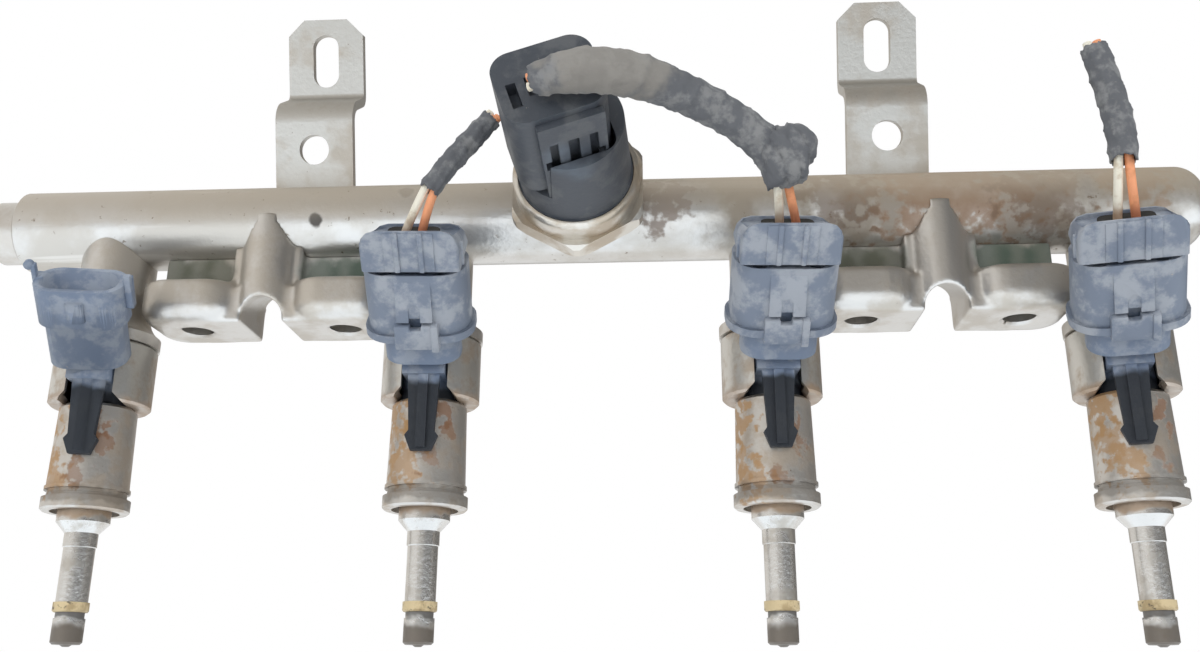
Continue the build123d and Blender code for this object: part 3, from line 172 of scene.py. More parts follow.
class MaskGroups:
    """Shared node groups whose masks every finish uses."""

    def __init__(self) -> None:
        """Builds each group once."""
        self.blotch = self._blotch()
        self.spot = self._spot()
        self.scratch = self._scratch()

    @staticmethod
    def _group(
        name: str, inputs: dict[str, tuple[str, object]]
    ) -> tuple[Graph, bpy.types.Node, bpy.types.Node]:
        """Starts a group with named inputs and one Mask output."""
        tree = bpy.data.node_groups.new(name, "ShaderNodeTree")
        for label, (kind, value) in inputs.items():
            socket = tree.interface.new_socket(label, in_out="INPUT", socket_type=kind)
            if value is not None:
                socket.default_value = value
        tree.interface.new_socket("Mask", in_out="OUTPUT", socket_type="NodeSocketFloat")
        graph = Graph(tree)
        return graph, tree.nodes.new("NodeGroupInput"), tree.nodes.new("NodeGroupOutput")

    def _blotch(self) -> bpy.types.NodeTree:
        """Irregular stained areas of a chosen size and share."""
        graph, start, end = self._group(
            "stained_areas",
            {
                "Vector": ("NodeSocketVector", None),
                "Scale": ("NodeSocketFloat", 60.0),
                "Level": ("NodeSocketFloat", 0.5),
                "Softness": ("NodeSocketFloat", 0.08),
            },
        )
        noise = graph.node("TexNoise")
        noise.inputs["Detail"].default_value = 7.0
        noise.inputs["Roughness"].default_value = 0.62
        graph.link(start.outputs["Vector"], noise.inputs["Vector"])
        graph.link(start.outputs["Scale"], noise.inputs["Scale"])
        low = graph.maths("SUBTRACT", start.outputs["Level"], start.outputs["Softness"])
        high = graph.maths("ADD", start.outputs["Level"], start.outputs["Softness"])
        graph.link(graph.ramp(noise.outputs[0], low, high), end.inputs["Mask"])
        return graph.tree

    def _spot(self) -> bpy.types.NodeTree:
        """A ragged patch round one place."""
        graph, start, end = self._group(
            "ragged_patch",
            {
                "Vector": ("NodeSocketVector", None),
                "Centre": ("NodeSocketVector", None),
                "Radius": ("NodeSocketFloat", 0.01),
                "Raggedness": ("NodeSocketFloat", 0.6),
                "Scale": ("NodeSocketFloat", 150.0),
            },
        )
        gap = graph.node("VectorMath", operation="DISTANCE")
        graph.link(start.outputs["Vector"], gap.inputs[0])
        graph.link(start.outputs["Centre"], gap.inputs[1])
        noise = graph.node("TexNoise")
        noise.inputs["Detail"].default_value = 6.0
        graph.link(start.outputs["Vector"], noise.inputs["Vector"])
        graph.link(start.outputs["Scale"], noise.inputs["Scale"])
        far = graph.maths("DIVIDE", gap.outputs["Value"], start.outputs["Radius"])
        centred = graph.maths("SUBTRACT", noise.outputs[0], 0.5)
        shift = graph.maths("MULTIPLY", centred, start.outputs["Raggedness"])
        rough_far = graph.maths("ADD", far, graph.maths("MULTIPLY", shift, 3.0))
        graph.link(graph.ramp(rough_far, 1.15, 0.6), end.inputs["Mask"])
        return graph.tree

    def _scratch(self) -> bpy.types.NodeTree:
        """Fine lines drawn out along X, with specks between."""
        graph, start, end = self._group(
            "drawn_lines",
            {
                "Vector": ("NodeSocketVector", None),
                "Scale": ("NodeSocketFloat", 200.0),
                "Level": ("NodeSocketFloat", 0.62),
            },
        )
        stretch = graph.node("VectorMath", operation="MULTIPLY")
        stretch.inputs[1].default_value = (0.06, 1.0, 1.0)
        graph.link(start.outputs["Vector"], stretch.inputs[0])
        noise = graph.node("TexNoise")
        noise.inputs["Detail"].default_value = 3.0
        graph.link(stretch.outputs[0], noise.inputs["Vector"])
        graph.link(start.outputs["Scale"], noise.inputs["Scale"])
        high = graph.maths("ADD", start.outputs["Level"], 0.06)
        graph.link(graph.ramp(noise.outputs[0], start.outputs["Level"], high), end.inputs["Mask"])
        return graph.tree


@dataclass(frozen=True)
class Patch:
    """A stained or rusted place, in the object's frame; some patches also carry painted light or painted
    shade.
    """

    centre: Point
    radius: float
    colour: Colour
    strength: float = 0.85
    raggedness: float = 0.6
    grain: float = 150.0


@dataclass(frozen=True)
class Band:
    """A zone of another colour between two heights, fading over a softness."""

    low: float
    high: float
    colour: Colour
    softness: float = 0.001
    strength: float = 0.9


@dataclass(frozen=True)
class Finish:
    """A used surface: its base colour, stains, specks, patches and bands."""

    name: str
    base: Colour
    stain: Colour
    speck: Colour
    stain_level: float = 0.52
    stain_scale: float = 45.0
    stain_strength: float = 0.6
    speck_level: float = 0.68
    speck_scale: float = 700.0
    metallic: float = 0.0
    roughness: float = 0.45
    roughness_spread: float = 0.18
    bump: float = 0.25
    bump_scale: float = 900.0
    lines: float = 0.0
    patches: tuple[Patch, ...] = ()
    bands: tuple[Band, ...] = ()

    def material(self, masks: MaskGroups) -> bpy.types.Material:
        """Builds the finish as a material.

        Args:
            masks: The shared mask groups.

        Returns:
            The finished material.
        """
        made = bpy.data.materials.new(self.name)
        made.use_nodes = True
        graph = Graph(made.node_tree)
        shader = made.node_tree.nodes["Principled BSDF"]
        place = graph.node("TexCoord").outputs["Object"]
        stains = {"Scale": self.stain_scale, "Level": self.stain_level}
        stained = self._place(graph, masks.blotch, place, stains)
        stained = graph.maths("MULTIPLY", stained, self.stain_strength)
        colour = graph.mix(stained, rgba(self.base), rgba(self.stain))
        specks = {"Scale": self.speck_scale, "Level": self.speck_level, "Softness": 0.03}
        speckled = self._place(graph, masks.blotch, place, specks)
        colour = graph.mix(graph.maths("MULTIPLY", speckled, 0.8), colour, rgba(self.speck))
        if self.lines > 0.0:
            drawn = self._place(graph, masks.scratch, place, {})
            pale = tuple(min(1.0, c * 1.5 + 0.08) for c in self.base)
            colour = graph.mix(graph.maths("MULTIPLY", drawn, self.lines), colour, rgba(pale))
        bare = graph.maths("SUBTRACT", 1.0, graph.maths("MULTIPLY", stained, 0.4))
        colour, bare = self._zones(graph, masks, place, colour, bare)
        graph.link(colour, shader.inputs["Base Color"])
        if self.metallic > 0.0:
            graph.link(graph.maths("MULTIPLY", bare, self.metallic), shader.inputs["Metallic"])
        rough = graph.node("MapRange")
        graph.link(bare, rough.inputs["Value"])
        rough.inputs["To Min"].default_value = min(1.0, self.roughness + self.roughness_spread * 1.6)
        rough.inputs["To Max"].default_value = self.roughness
        graph.link(rough.outputs["Result"], shader.inputs["Roughness"])
        self._relief(graph, shader, place, stained)
        return made

    @staticmethod
    def _place(
        graph: Graph, group: bpy.types.NodeTree, place: bpy.types.NodeSocket, values: dict[str, object]
    ) -> bpy.types.NodeSocket:
        """Places a mask group with its own values."""
        used = graph.node("Group", node_tree=group)
        graph.link(place, used.inputs["Vector"])
        for label, value in values.items():
            used.inputs[label].default_value = value
        return used.outputs["Mask"]

    def _zones(
        self,
        graph: Graph,
        masks: MaskGroups,
        place: bpy.types.NodeSocket,
        colour: bpy.types.NodeSocket,
        bare: bpy.types.NodeSocket,
    ) -> tuple[bpy.types.NodeSocket, bpy.types.NodeSocket]:
        """Lays the patches and bands over a colour, and takes them off the bare share."""
        for patch in self.patches:
            values = {
                "Centre": patch.centre,
                "Radius": patch.radius,
                "Raggedness": patch.raggedness,
                "Scale": patch.grain,
            }
            mask = self._place(graph, masks.spot, place, values)
            mask = graph.maths("MULTIPLY", mask, patch.strength)
            colour = graph.mix(mask, colour, rgba(patch.colour))
            bare = graph.maths("MULTIPLY", bare, graph.maths("SUBTRACT", 1.0, mask))
        if self.bands:
            split = graph.node("SeparateXYZ")
            graph.link(place, split.inputs[0])
            wobble = graph.node("TexNoise")
            wobble.inputs["Scale"].default_value = 220.0
            graph.link(place, wobble.inputs["Vector"])
            shift = graph.maths("MULTIPLY", graph.maths("SUBTRACT", wobble.outputs[0], 0.5), 0.004)
            height = graph.maths("ADD", split.outputs["Z"], shift)
            for band in self.bands:
                over = graph.ramp(height, band.low - band.softness, band.low + band.softness)
                under = graph.ramp(height, band.high + band.softness, band.high - band.softness)
                mask = graph.maths("MULTIPLY", graph.maths("MULTIPLY", over, under), band.strength)
                colour = graph.mix(mask, colour, rgba(band.colour))
                kept = graph.maths("SUBTRACT", 1.0, graph.maths("MULTIPLY", mask, 0.7))
                bare = graph.maths("MULTIPLY", bare, kept)
        return colour, bare

    def _relief(
        self, graph: Graph, shader: bpy.types.Node, place: bpy.types.NodeSocket, stained: bpy.types.NodeSocket
    ) -> None:
        """Gives the surface its fine roughness in relief."""
        grain = graph.node("TexNoise")
        grain.inputs["Scale"].default_value = self.bump_scale
        grain.inputs["Detail"].default_value = 5.0
        graph.link(place, grain.inputs["Vector"])
        height = graph.maths("ADD", grain.outputs[0], graph.maths("MULTIPLY", stained, 0.35))
        bump = graph.node("Bump")
        bump.inputs["Strength"].default_value = self.bump
        bump.inputs["Distance"].default_value = 0.0003
        graph.link(height, bump.inputs["Height"])
        graph.link(bump.outputs["Normal"], shader.inputs["Normal"])


DARK_RUST: Colour = (0.13, 0.06, 0.03)
TAN: Colour = (0.33, 0.25, 0.16)
SOOT: Colour = (0.035, 0.03, 0.026)
VERDIGRIS_AND_GAP_SHADE: Colour = (0.055, 0.085, 0.06)
OLIVE: Colour = (0.075, 0.08, 0.05)
LIT_SIDE_OCHRE_RUST: Colour = (0.42, 0.24, 0.10)
SHADED_SIDE_DEEP_RUST: Colour = (0.20, 0.085, 0.03)


def braze_corrosion_and_gap_shade_patches() -> tuple[Patch, ...]:
    """The green corrosion in the thin recess between each boss and the tube, painted dark enough to stand in
    for the shade in that gap as well.
    """
    made = []
    for middle in SADDLE_X.values():
        # dark green: partly copper corrosion, partly painted shade in the gap under the tube
        for side, colour in ((-1, OLIVE), (1, VERDIGRIS_AND_GAP_SHADE)):
            for step in (-0.006, 0.0, 0.006):
                centre = (middle + side * BOSS_X + step, -0.0055, 0.0145)
                made.append(Patch(centre, 0.0062, colour, 0.8, 0.35))
    return tuple(made)


def body_patches() -> tuple[Patch, ...]:
    """The rust on the injector bodies, most of it at the left and the top rim, painted a lighter ochre on the
    lit left side and a darker rust on the shaded right side.
    """
    places = (
        (-0.0085, -0.0040, -0.0240, 0.0055, 0.8), (-0.0078, -0.0055, -0.0330, 0.0045, 0.65),
        (-0.0055, -0.0078, -0.0385, 0.0050, 0.7), (0.0040, -0.0088, -0.0262, 0.0030, 0.8),
        (0.0060, -0.0074, -0.0300, 0.0024, 0.7), (0.0010, -0.0095, -0.0375, 0.0028, 0.6),
    )
    shifts = (0.0, 0.0012, -0.0010, 0.0006)
    made = []
    for centre, shift in zip(INJECTOR_X, shifts):
        for x, y, z, radius, strength in places:
            # painted light and shade: lighter rust on the lit left side, darker rust on the shaded right side
            colour = LIT_SIDE_OCHRE_RUST if x < 0 else SHADED_SIDE_DEEP_RUST
            spot = (centre + x + shift, y, z + 2 * shift)
            made.append(Patch(spot, radius, colour, strength, 1.7, 380.0))
    return tuple(made)


FINISHES: dict[str, Finish] = {
    "rail_steel": Finish(
        "drawn_rail_steel", (0.60, 0.58, 0.55), (0.44, 0.39, 0.32), (0.16, 0.11, 0.07), stain_level=0.5,
        stain_scale=26.0, metallic=0.9, roughness=0.3, lines=0.25, speck_level=0.67, speck_scale=420.0,
        stain_strength=0.5,
        bands=(Band(0.0300, 0.06, (0.46, 0.39, 0.30), 0.005, 0.6),),
        patches=(
            Patch((0.040, -0.0050, 0.0365), 0.017, (0.24, 0.19, 0.13), 0.7, 0.6, 120.0),
            Patch((0.070, -0.0050, 0.0365), 0.019, (0.19, 0.145, 0.095), 0.75, 0.6, 120.0),
            Patch((0.104, -0.0050, 0.0365), 0.020, (0.20, 0.15, 0.10), 0.75, 0.6, 120.0),
            Patch((0.138, -0.0040, 0.0365), 0.018, (0.22, 0.17, 0.11), 0.75, 0.6, 120.0),
            Patch((0.088, -0.0095, 0.032), 0.019, (0.24, 0.12, 0.05), 0.62, 1.1, 320.0),
            Patch((0.060, -0.0100, 0.031), 0.010, (0.12, 0.07, 0.04), 0.6, 1.2, 320.0),
            Patch((0.016, -0.0100, 0.0305), 0.0075, (0.14, 0.08, 0.045), 0.6, 1.1, 320.0),
            Patch((0.110, -0.0095, 0.029), 0.011, (0.12, 0.07, 0.04), 0.55, 1.2, 320.0),
            Patch((0.132, -0.0095, 0.034), 0.010, (0.26, 0.14, 0.06), 0.5, 1.0, 320.0),
            Patch((-0.072, -0.0100, 0.0265), 0.0016, SOOT, 0.9, 0.8),
            Patch((-0.050, -0.0090, 0.0345), 0.0020, SOOT, 0.8, 0.9),
        ),
    ),
    "fitting_steel": Finish(
        "turned_fitting_steel", (0.62, 0.60, 0.57), TAN, DARK_RUST, metallic=0.9, roughness=0.28,
        stain_strength=0.3, speck_level=0.72,
    ),
    "saddle_steel": Finish(
        "brazed_steel", (0.58, 0.555, 0.52), (0.42, 0.36, 0.28), (0.14, 0.10, 0.07), stain_level=0.52,
        stain_scale=60.0, metallic=0.9, roughness=0.33, stain_strength=0.55, speck_level=0.73,
        patches=braze_corrosion_and_gap_shade_patches(),
    ),
    "bracket_steel": Finish(
        "pressed_strip_steel", (0.56, 0.54, 0.50), (0.40, 0.34, 0.27), DARK_RUST, stain_level=0.56,
        stain_scale=55.0, metallic=0.8, roughness=0.4, stain_strength=0.6, speck_level=0.71,
        bands=(Band(0.02, 0.044, (0.34, 0.27, 0.19), 0.009, 0.5),),
    ),
    "sensor_steel": Finish(
        "sensor_hexagon_steel", (0.60, 0.56, 0.50), (0.36, 0.26, 0.15), DARK_RUST, metallic=0.9,
        roughness=0.3, stain_scale=90.0, stain_strength=0.55, speck_level=0.72,
    ),
    "injector_steel": Finish(
        "injector_body_steel", (0.54, 0.51, 0.47), (0.40, 0.31, 0.22), (0.15, 0.09, 0.05), stain_level=0.53,
        stain_scale=130.0, metallic=0.85, roughness=0.36, stain_strength=0.6, speck_level=0.70,
        bands=(Band(-0.0447, -0.0412, (0.10, 0.08, 0.06), 0.0006, 0.5),), patches=body_patches(),
    ),
    "nozzle_steel": Finish(
        "nozzle_steel", (0.60, 0.58, 0.55), (0.34, 0.29, 0.22), DARK_RUST, stain_level=0.58,
        stain_scale=140.0,
        metallic=0.92, roughness=0.26, stain_strength=0.5, speck_level=0.73,
        bands=(
            Band(-0.0478, -0.0445, (0.36, 0.22, 0.11), 0.0006, 0.7),
            Band(-0.0716, -0.0690, SOOT, 0.0005, 0.75),
            Band(-0.080, -0.0732, (0.11, 0.085, 0.06), 0.001, 0.88),
        ),
    ),
    "spring_steel": Finish(
        "sprung_clip_steel", (0.56, 0.54, 0.50), (0.34, 0.24, 0.15), DARK_RUST, stain_level=0.54,
        stain_scale=120.0,
        metallic=0.88, roughness=0.34, stain_strength=0.6, speck_level=0.71,
        bands=(Band(-0.0205, -0.0185, (0.34, 0.2, 0.1), 0.0008, 0.45),),
    ),
    "sensor_plastic": Finish(
        "sensor_housing_plastic", (0.058, 0.066, 0.080), (0.15, 0.155, 0.16), (0.28, 0.27, 0.24),
        stain_level=0.55,
        stain_scale=130.0, roughness=Coat.SATIN.value, speck_level=0.71, stain_strength=0.5,
        patches=(Patch((-0.0030, -0.0500, 0.0165), 0.0085, (0.15, 0.18, 0.22), 0.8, 0.3),),
    ),
    # black plastic painted lighter and bluer: partly real dust, partly a painted sheen of reflected sky
    "plug_plastic": Finish(
        "dusty_plug_plastic_painted_sheen", (0.185, 0.220, 0.285), (0.54, 0.56, 0.59), (0.42, 0.39, 0.34), stain_level=0.52,
        stain_scale=120.0, roughness=Coat.SATIN.value, speck_level=0.72, stain_strength=0.5,
    ),
    # black plastic painted lighter and bluer: partly real dust, partly a painted sheen of reflected sky
    "overmould_plastic": Finish(
        "dusty_overmould_plastic_painted_sheen", (0.165, 0.210, 0.295), (0.40, 0.43, 0.48), (0.36, 0.34, 0.30),
        stain_level=0.53,
        stain_scale=170.0, roughness=Coat.SATIN.value, speck_level=0.72, stain_strength=0.5,
        bands=(Band(-0.040, -0.0165, (0.010, 0.011, 0.013), 0.0012, 0.95),),
    ),
    "seal_cream": Finish(
        "cream_seal", (0.70, 0.56, 0.33), (0.30, 0.20, 0.09), SOOT, stain_scale=260.0, roughness=0.5,
        speck_level=0.62,
    ),
    "seal_rubber": Finish(
        "black_seal_rubber", (0.014, 0.014, 0.014), (0.04, 0.038, 0.035), (0.1, 0.09, 0.08),
        roughness=Coat.MATTE.value,
    ),
    "terminal_brass": Finish(
        "plated_terminals", (0.66, 0.56, 0.36), (0.3, 0.2, 0.1), SOOT, metallic=0.9, roughness=0.3
    ),
    "wire_cream": Finish(
        "cream_insulation", (0.95, 0.90, 0.76), (0.55, 0.42, 0.27), DARK_RUST, stain_level=0.56,
        stain_scale=200.0,
        roughness=0.5, speck_level=0.73, bands=(Band(0.0, 0.0135, (0.32, 0.18, 0.10), 0.002, 0.85),),
    ),
    "wire_orange": Finish(
        "orange_insulation", (0.95, 0.40, 0.20), (0.62, 0.24, 0.10), DARK_RUST, stain_level=0.56,
        stain_scale=200.0,
        roughness=0.5, speck_level=0.73, bands=(Band(0.0, 0.0135, (0.37, 0.12, 0.06), 0.002, 0.85),),
    ),
    "loom_tape": Finish(
        "dusty_loom_tape", (0.130, 0.135, 0.146), (0.34, 0.34, 0.335), (0.28, 0.27, 0.25), stain_level=0.54,
        stain_scale=200.0, roughness=Coat.DULL.value, speck_level=0.70, stain_strength=0.55, bump=0.5,
        bump_scale=700.0,
        patches=(Patch((0.006, -0.070, 0.0335), 0.014, (0.30, 0.28, 0.25), 0.75, 0.7),),
    ),
}


@dataclass
class Dresser:
    """Gives carried-over nodes and new pieces their finishes."""

    materials: dict[str, bpy.types.Material] = field(default_factory=dict)

    def prepare(self) -> None:
        """Builds every finish once."""
        masks = MaskGroups()
        self.materials = {slot: finish.material(masks) for slot, finish in FINISHES.items()}

    def dress(self, piece: bpy.types.Object, slot: str) -> None:
        """Puts one finish all over a piece."""
        piece.data.materials.clear()
        piece.data.materials.append(self.materials[slot])

    def dress_nodes(self, frame: dict) -> None:
        """Gives every carried-over node the finish that its record slot names."""
        for entry in frame["record"]["subparts"]:
            node = frame["nodes"][entry["node"]]
            self.dress(node, entry["material_slot"])
            LOG.info("node %s wears %s", entry["node"], entry["material_slot"])


class Bench:
    """Short modelling calls that work by operator on one piece at a time."""

    @staticmethod
    def take(piece: bpy.types.Object) -> None:
        """Makes a piece the only one selected, and active."""
        bpy.ops.object.select_all(action="DESELECT")
        piece.select_set(True)
        bpy.context.view_layer.objects.active = piece

    @staticmethod
    def block(name: str, low: Point, high: Point) -> bpy.types.Object:
        """A cube primitive between two corners, in millimetres.

        Args:
            name: The name of the piece.
            low: Its lowest corner.
            high: Its highest corner.

        Returns:
            The block, with its place in its mesh.
        """
        bpy.ops.object.select_all(action="DESELECT")
        middle = [(a + b) / 2 for a, b in zip(low, high)]
        span = [b - a for a, b in zip(low, high)]
        bpy.ops.mesh.primitive_cube_add(size=1.0, location=middle, scale=span)
        piece = bpy.context.object
        piece.name = name
        bpy.ops.object.transform_apply(location=True, rotation=True, scale=True)
        return piece

    @staticmethod
    def drum(name: str, radius: float, low: Point, high: Point, sides: int = 48) -> bpy.types.Object:
        """A cylinder primitive from one end point to the other, in millimetres."""
        bpy.ops.object.select_all(action="DESELECT")
        run = Vector(high) - Vector(low)
        middle = (Vector(high) + Vector(low)) / 2
        turn = run.to_track_quat("Z", "Y").to_euler()
        bpy.ops.mesh.primitive_cylinder_add(
            vertices=sides, radius=radius, depth=run.length, location=middle, rotation=turn
        )
        piece = bpy.context.object
        piece.name = name
        bpy.ops.object.transform_apply(location=True, rotation=True, scale=True)
        return piece

    @classmethod
    def bevel_along(
        cls, piece: bpy.types.Object, axis: int, width: float, segments: int, keep: PointTest | None = None
    ) -> None:
        """Bevels the edges that run along one axis.

        Args:
            piece: The piece that is shaped.
            axis: 0, 1 or 2 for X, Y or Z.
            width: The bevel's width.
            segments: How many steps round it has.
            keep: A test of an edge's middle, or None for all.
        """
        cls.take(piece)
        bpy.ops.object.mode_set(mode="EDIT")
        bpy.ops.mesh.select_mode(type="EDGE")
        bpy.ops.mesh.select_all(action="DESELECT")
        shape = bmesh.from_edit_mesh(piece.data)
        for edge in shape.edges:
            run = (edge.verts[1].co - edge.verts[0].co).normalized()
            middle = (edge.verts[1].co + edge.verts[0].co) / 2
            if abs(run[axis]) > 0.9 and (keep is None or keep(middle)):
                edge.select_set(True)
        bmesh.update_edit_mesh(piece.data)
        bpy.ops.mesh.bevel(offset=width, segments=segments, profile=0.5, clamp_overlap=True)
        bpy.ops.object.mode_set(mode="OBJECT")

    @classmethod
    def shift_points(cls, piece: bpy.types.Object, test: PointTest, move: Point) -> None:
        """Moves the points that pass a test."""
        cls.take(piece)
        bpy.ops.object.mode_set(mode="EDIT")
        bpy.ops.mesh.select_mode(type="VERT")
        bpy.ops.mesh.select_all(action="DESELECT")
        shape = bmesh.from_edit_mesh(piece.data)
        for point in shape.verts:
            point.select_set(bool(test(point.co)))
        shape.select_flush(True)
        bmesh.update_edit_mesh(piece.data)
        bpy.ops.transform.translate(value=move)
        bpy.ops.object.mode_set(mode="OBJECT")

    @classmethod
    def modify(cls, piece: bpy.types.Object, kind: str, **settings: object) -> None:
        """Adds one modifier and applies it."""
        cls.take(piece)
        made = piece.modifiers.new(kind.lower(), kind)
        for name, value in settings.items():
            setattr(made, name, value)
        bpy.ops.object.modifier_apply(modifier=made.name)

    @classmethod
    def cut(cls, piece: bpy.types.Object, *tools: bpy.types.Object) -> None:
        """Takes each tool's shape out of a piece, and the tool out of the scene."""
        for tool in tools:
            cls.modify(piece, "BOOLEAN", operation="DIFFERENCE", solver="EXACT", object=tool)
            bpy.data.objects.remove(tool)

    @classmethod
    def fuse(cls, piece: bpy.types.Object, *others: bpy.types.Object) -> None:
        """Unites other shapes with a piece."""
        for other in others:
            cls.modify(piece, "BOOLEAN", operation="UNION", solver="EXACT", object=other)
            bpy.data.objects.remove(other)

    @classmethod
    def soften(cls, piece: bpy.types.Object, width: float, segments: int = 2, angle: float = 0.6) -> None:
        """Rounds the sharp edges a little and shades the rest smooth."""
        cls.modify(
            piece, "BEVEL", width=width, segments=segments, limit_method="ANGLE", angle_limit=angle,
            harden_normals=False,
        )
        cls.take(piece)
        bpy.ops.object.shade_smooth_by_angle(angle=SMOOTH_ANGLE)

    @classmethod
    def attach(cls, piece: bpy.types.Object, *parts: bpy.types.Object) -> None:
        """Joins loose parts to a piece as they are, without a cut."""
        cls.take(piece)
        for part in parts:
            part.select_set(True)
        bpy.ops.object.join()

    @classmethod
    def copy_node(cls, name: str, node: bpy.types.Object) -> bpy.types.Object:
        """A merged copy of a carried-over node."""
        piece = node.copy()
        piece.data = node.data.copy()
        piece.name = name
        bpy.context.scene.collection.objects.link(piece)
        cls.take(piece)
        bpy.ops.object.mode_set(mode="EDIT")
        bpy.ops.mesh.select_all(action="SELECT")
        bpy.ops.mesh.remove_doubles(threshold=1e-6)
        bpy.ops.mesh.normals_make_consistent(inside=False)
        bpy.ops.object.mode_set(mode="OBJECT")
        return piece

    @classmethod
    def finish(cls, piece: bpy.types.Object, dresser: Dresser, slot: str, *nodes: str) -> None:
        """Dresses a piece, hangs it on the root body and hides the nodes that it stands for."""
        dresser.dress(piece, slot)
        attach(piece, "root")
        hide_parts(*nodes)
        LOG.info("piece %s, %d faces", piece.name, len(piece.data.polygons))


@dataclass
class InjectorPlug:
    """A mating plug in millimetres along its socket's axis, front at negative Y."""

    number: int
    half_width: float = 12.0
    half_depth: float = 7.9
    flare: float = 0.9
    body_low: float = 6.4
    body_top: float = 23.6
    hood_low: float = 24.7
    hood_top: float = 34.8
    hood_half: float = 11.2
    hood_front: float = 8.0
    hood_back: float = 8.4
    rear_drop: float = 5.6
    wall: float = 1.3
    floor: float = 28.6
    rib_at: float = 2.75
    latch_half: float = 4.1
    bridge_half: float = 4.9
    notch_half: float = 1.35

    def build(self, dresser: Dresser) -> None:
        """Models the plug in its own frame and settles it on its socket."""
        plug = self._body()
        Bench.fuse(plug, self._hood())
        Bench.cut(plug, *self._wells())
        Bench.soften(plug, 0.28, 2, 0.7)
        for part in (*self._ribs(), *self._latch()):
            Bench.attach(plug, part)
        plug.data.transform(socket_place(self.number))
        plug.name = f"mating_plug_{self.number}"
        Bench.finish(plug, dresser, "plug_plastic", f"plug_{self.number}")

    def _body(self) -> bpy.types.Object:
        """The oval shell, with its flared skirt and its waist."""
        wide, deep = self.half_width, self.half_depth
        low, high = self.body_low, self.body_top
        body = Bench.block(f"plug_shell_{self.number}", (-wide, -deep, low), (wide, deep, high))
        Bench.bevel_along(body, 2, 6.4, 10)
        broad, thick = wide + self.flare, deep + self.flare
        skirt = Bench.block("skirt", (-broad, -thick, low), (broad, thick, low + 1.9))
        Bench.bevel_along(skirt, 2, 7.2, 10)
        waist = Bench.block("waist", (-10.0, -deep + 5.2, high - 1), (10.0, deep, self.hood_low + 1))
        Bench.bevel_along(waist, 2, 3.0, 4)
        Bench.fuse(body, skirt, waist)
        return body

    def _hood(self) -> bpy.types.Object:
        """The open hood, with bevelled shoulders and a mouth that slopes to the back."""
        half, front, back = self.hood_half, self.hood_front, self.hood_back
        top = self.hood_top
        hood = Bench.block("hood", (-half, -front, self.hood_low), (half, back, top))
        Bench.shift_points(hood, lambda p: p.z > top - 0.1 and p.y > 0, (0.0, 0.0, -self.rear_drop))
        Bench.bevel_along(hood, 1, 3.9, 3, lambda m: m.z > self.hood_low + 2)
        Bench.bevel_along(hood, 2, 2.0, 4)
        room_half = half - self.wall
        near, far = (-room_half, -front + self.wall, self.floor), (room_half, back - self.wall, top + 4)
        inner = Bench.block("hood_room", near, far)
        Bench.bevel_along(inner, 2, 1.4, 3)
        Bench.cut(hood, inner)
        return hood

    def _wells(self) -> tuple[bpy.types.Object, ...]:
        """The room for the socket, the wire holes and the hollows in the ledge below the hood."""
        below, ledge_z = self.body_low - 2, self.body_top
        room = Bench.block("socket_room", (-10.6, -6.5, below), (10.6, 6.5, 20.6))
        Bench.bevel_along(room, 2, 5.4, 8)
        nub = Bench.block("nub_room", (-2.4, -8.0, below), (2.4, -6.0, 18.2))
        notch = Bench.block("notch", (-self.notch_half, -9.0, 10.2), (self.notch_half, -5.0, 15.2))
        wires = [Bench.drum("wire_way", 1.12, (x, 0.0, 24.0), (x, 0.0, 30.0), 24) for x in (-1.9, 1.9)]
        ledge = [
            Bench.drum("ledge_well", 1.9, (x, -5.6, ledge_z - 1.4), (x, -5.6, ledge_z + 1.6), 32)
            for x in (-6.4, 6.2)
        ]
        return (room, nub, notch, *wires, *ledge)

    def _ribs(self) -> tuple[bpy.types.Object, ...]:
        """The upright ribs and the raised middle panel on the hood's front, and the side rails."""
        low, high = self.hood_low + 0.1, self.hood_top - 0.3
        face = -self.hood_front
        made = []
        for x in (-self.rib_at, self.rib_at):
            rib = Bench.block("hood_rib", (x - 0.62, face - 0.9, low), (x + 0.62, face + 0.3, high))
            Bench.soften(rib, 0.32, 3)
            made.append(rib)
        panel = Bench.block("hood_panel", (-5.7, face - 0.38, low), (5.7, face + 0.4, high - 0.2))
        Bench.soften(panel, 0.25, 2)
        made.append(panel)
        for side in (-1, 1):
            left, right = sorted((side * (self.hood_half - 0.4), side * (self.hood_half + 0.55)))
            rail = Bench.block("side_rail", (left, -4.6, low), (right, -3.2, self.hood_top - 4.6))
            Bench.soften(rail, 0.2, 2)
            made.append(rail)
        return tuple(made)

    def _latch(self) -> tuple[bpy.types.Object, ...]:
        """The latch plate with its sloping head and notch, and the bridge below it."""
        face = -self.half_depth
        half, wide, slot = self.latch_half, self.bridge_half, self.notch_half
        plate = Bench.block("latch_plate", (-half, face - 1.4, 12.2), (half, face + 0.6, 22.6))
        Bench.shift_points(plate, lambda p: p.z > 20 and p.y < face, (0.0, 1.5, 0.0))
        Bench.cut(plate, Bench.drum("notch_head", slot, (0.0, face - 3, 15.0), (0.0, face - 0.7, 15.0), 32))
        Bench.cut(plate, Bench.block("notch_low", (-slot, face - 3, 10.0), (slot, face + 3, 13.0)))
        Bench.cut(plate, Bench.block("notch_mid", (-slot, face - 3, 12.9), (slot, face - 0.7, 15.0)))
        Bench.soften(plate, 0.3, 2, 0.7)
        bridge = Bench.block("latch_bridge", (-wide, face - 1.9, 5.2), (wide, face + 0.6, 11.4))
        Bench.cut(bridge, Bench.block("bridge_notch", (-slot, face - 3, 10.2), (slot, face + 3, 12.0)))
        Bench.soften(bridge, 0.35, 2, 0.7)
        lip = Bench.block("bridge_lip", (wide - 1.3, face - 2.4, 4.8), (wide + 0.4, face + 0.6, 11.6))
        Bench.soften(lip, 0.3, 2)
        return plate, bridge, lip


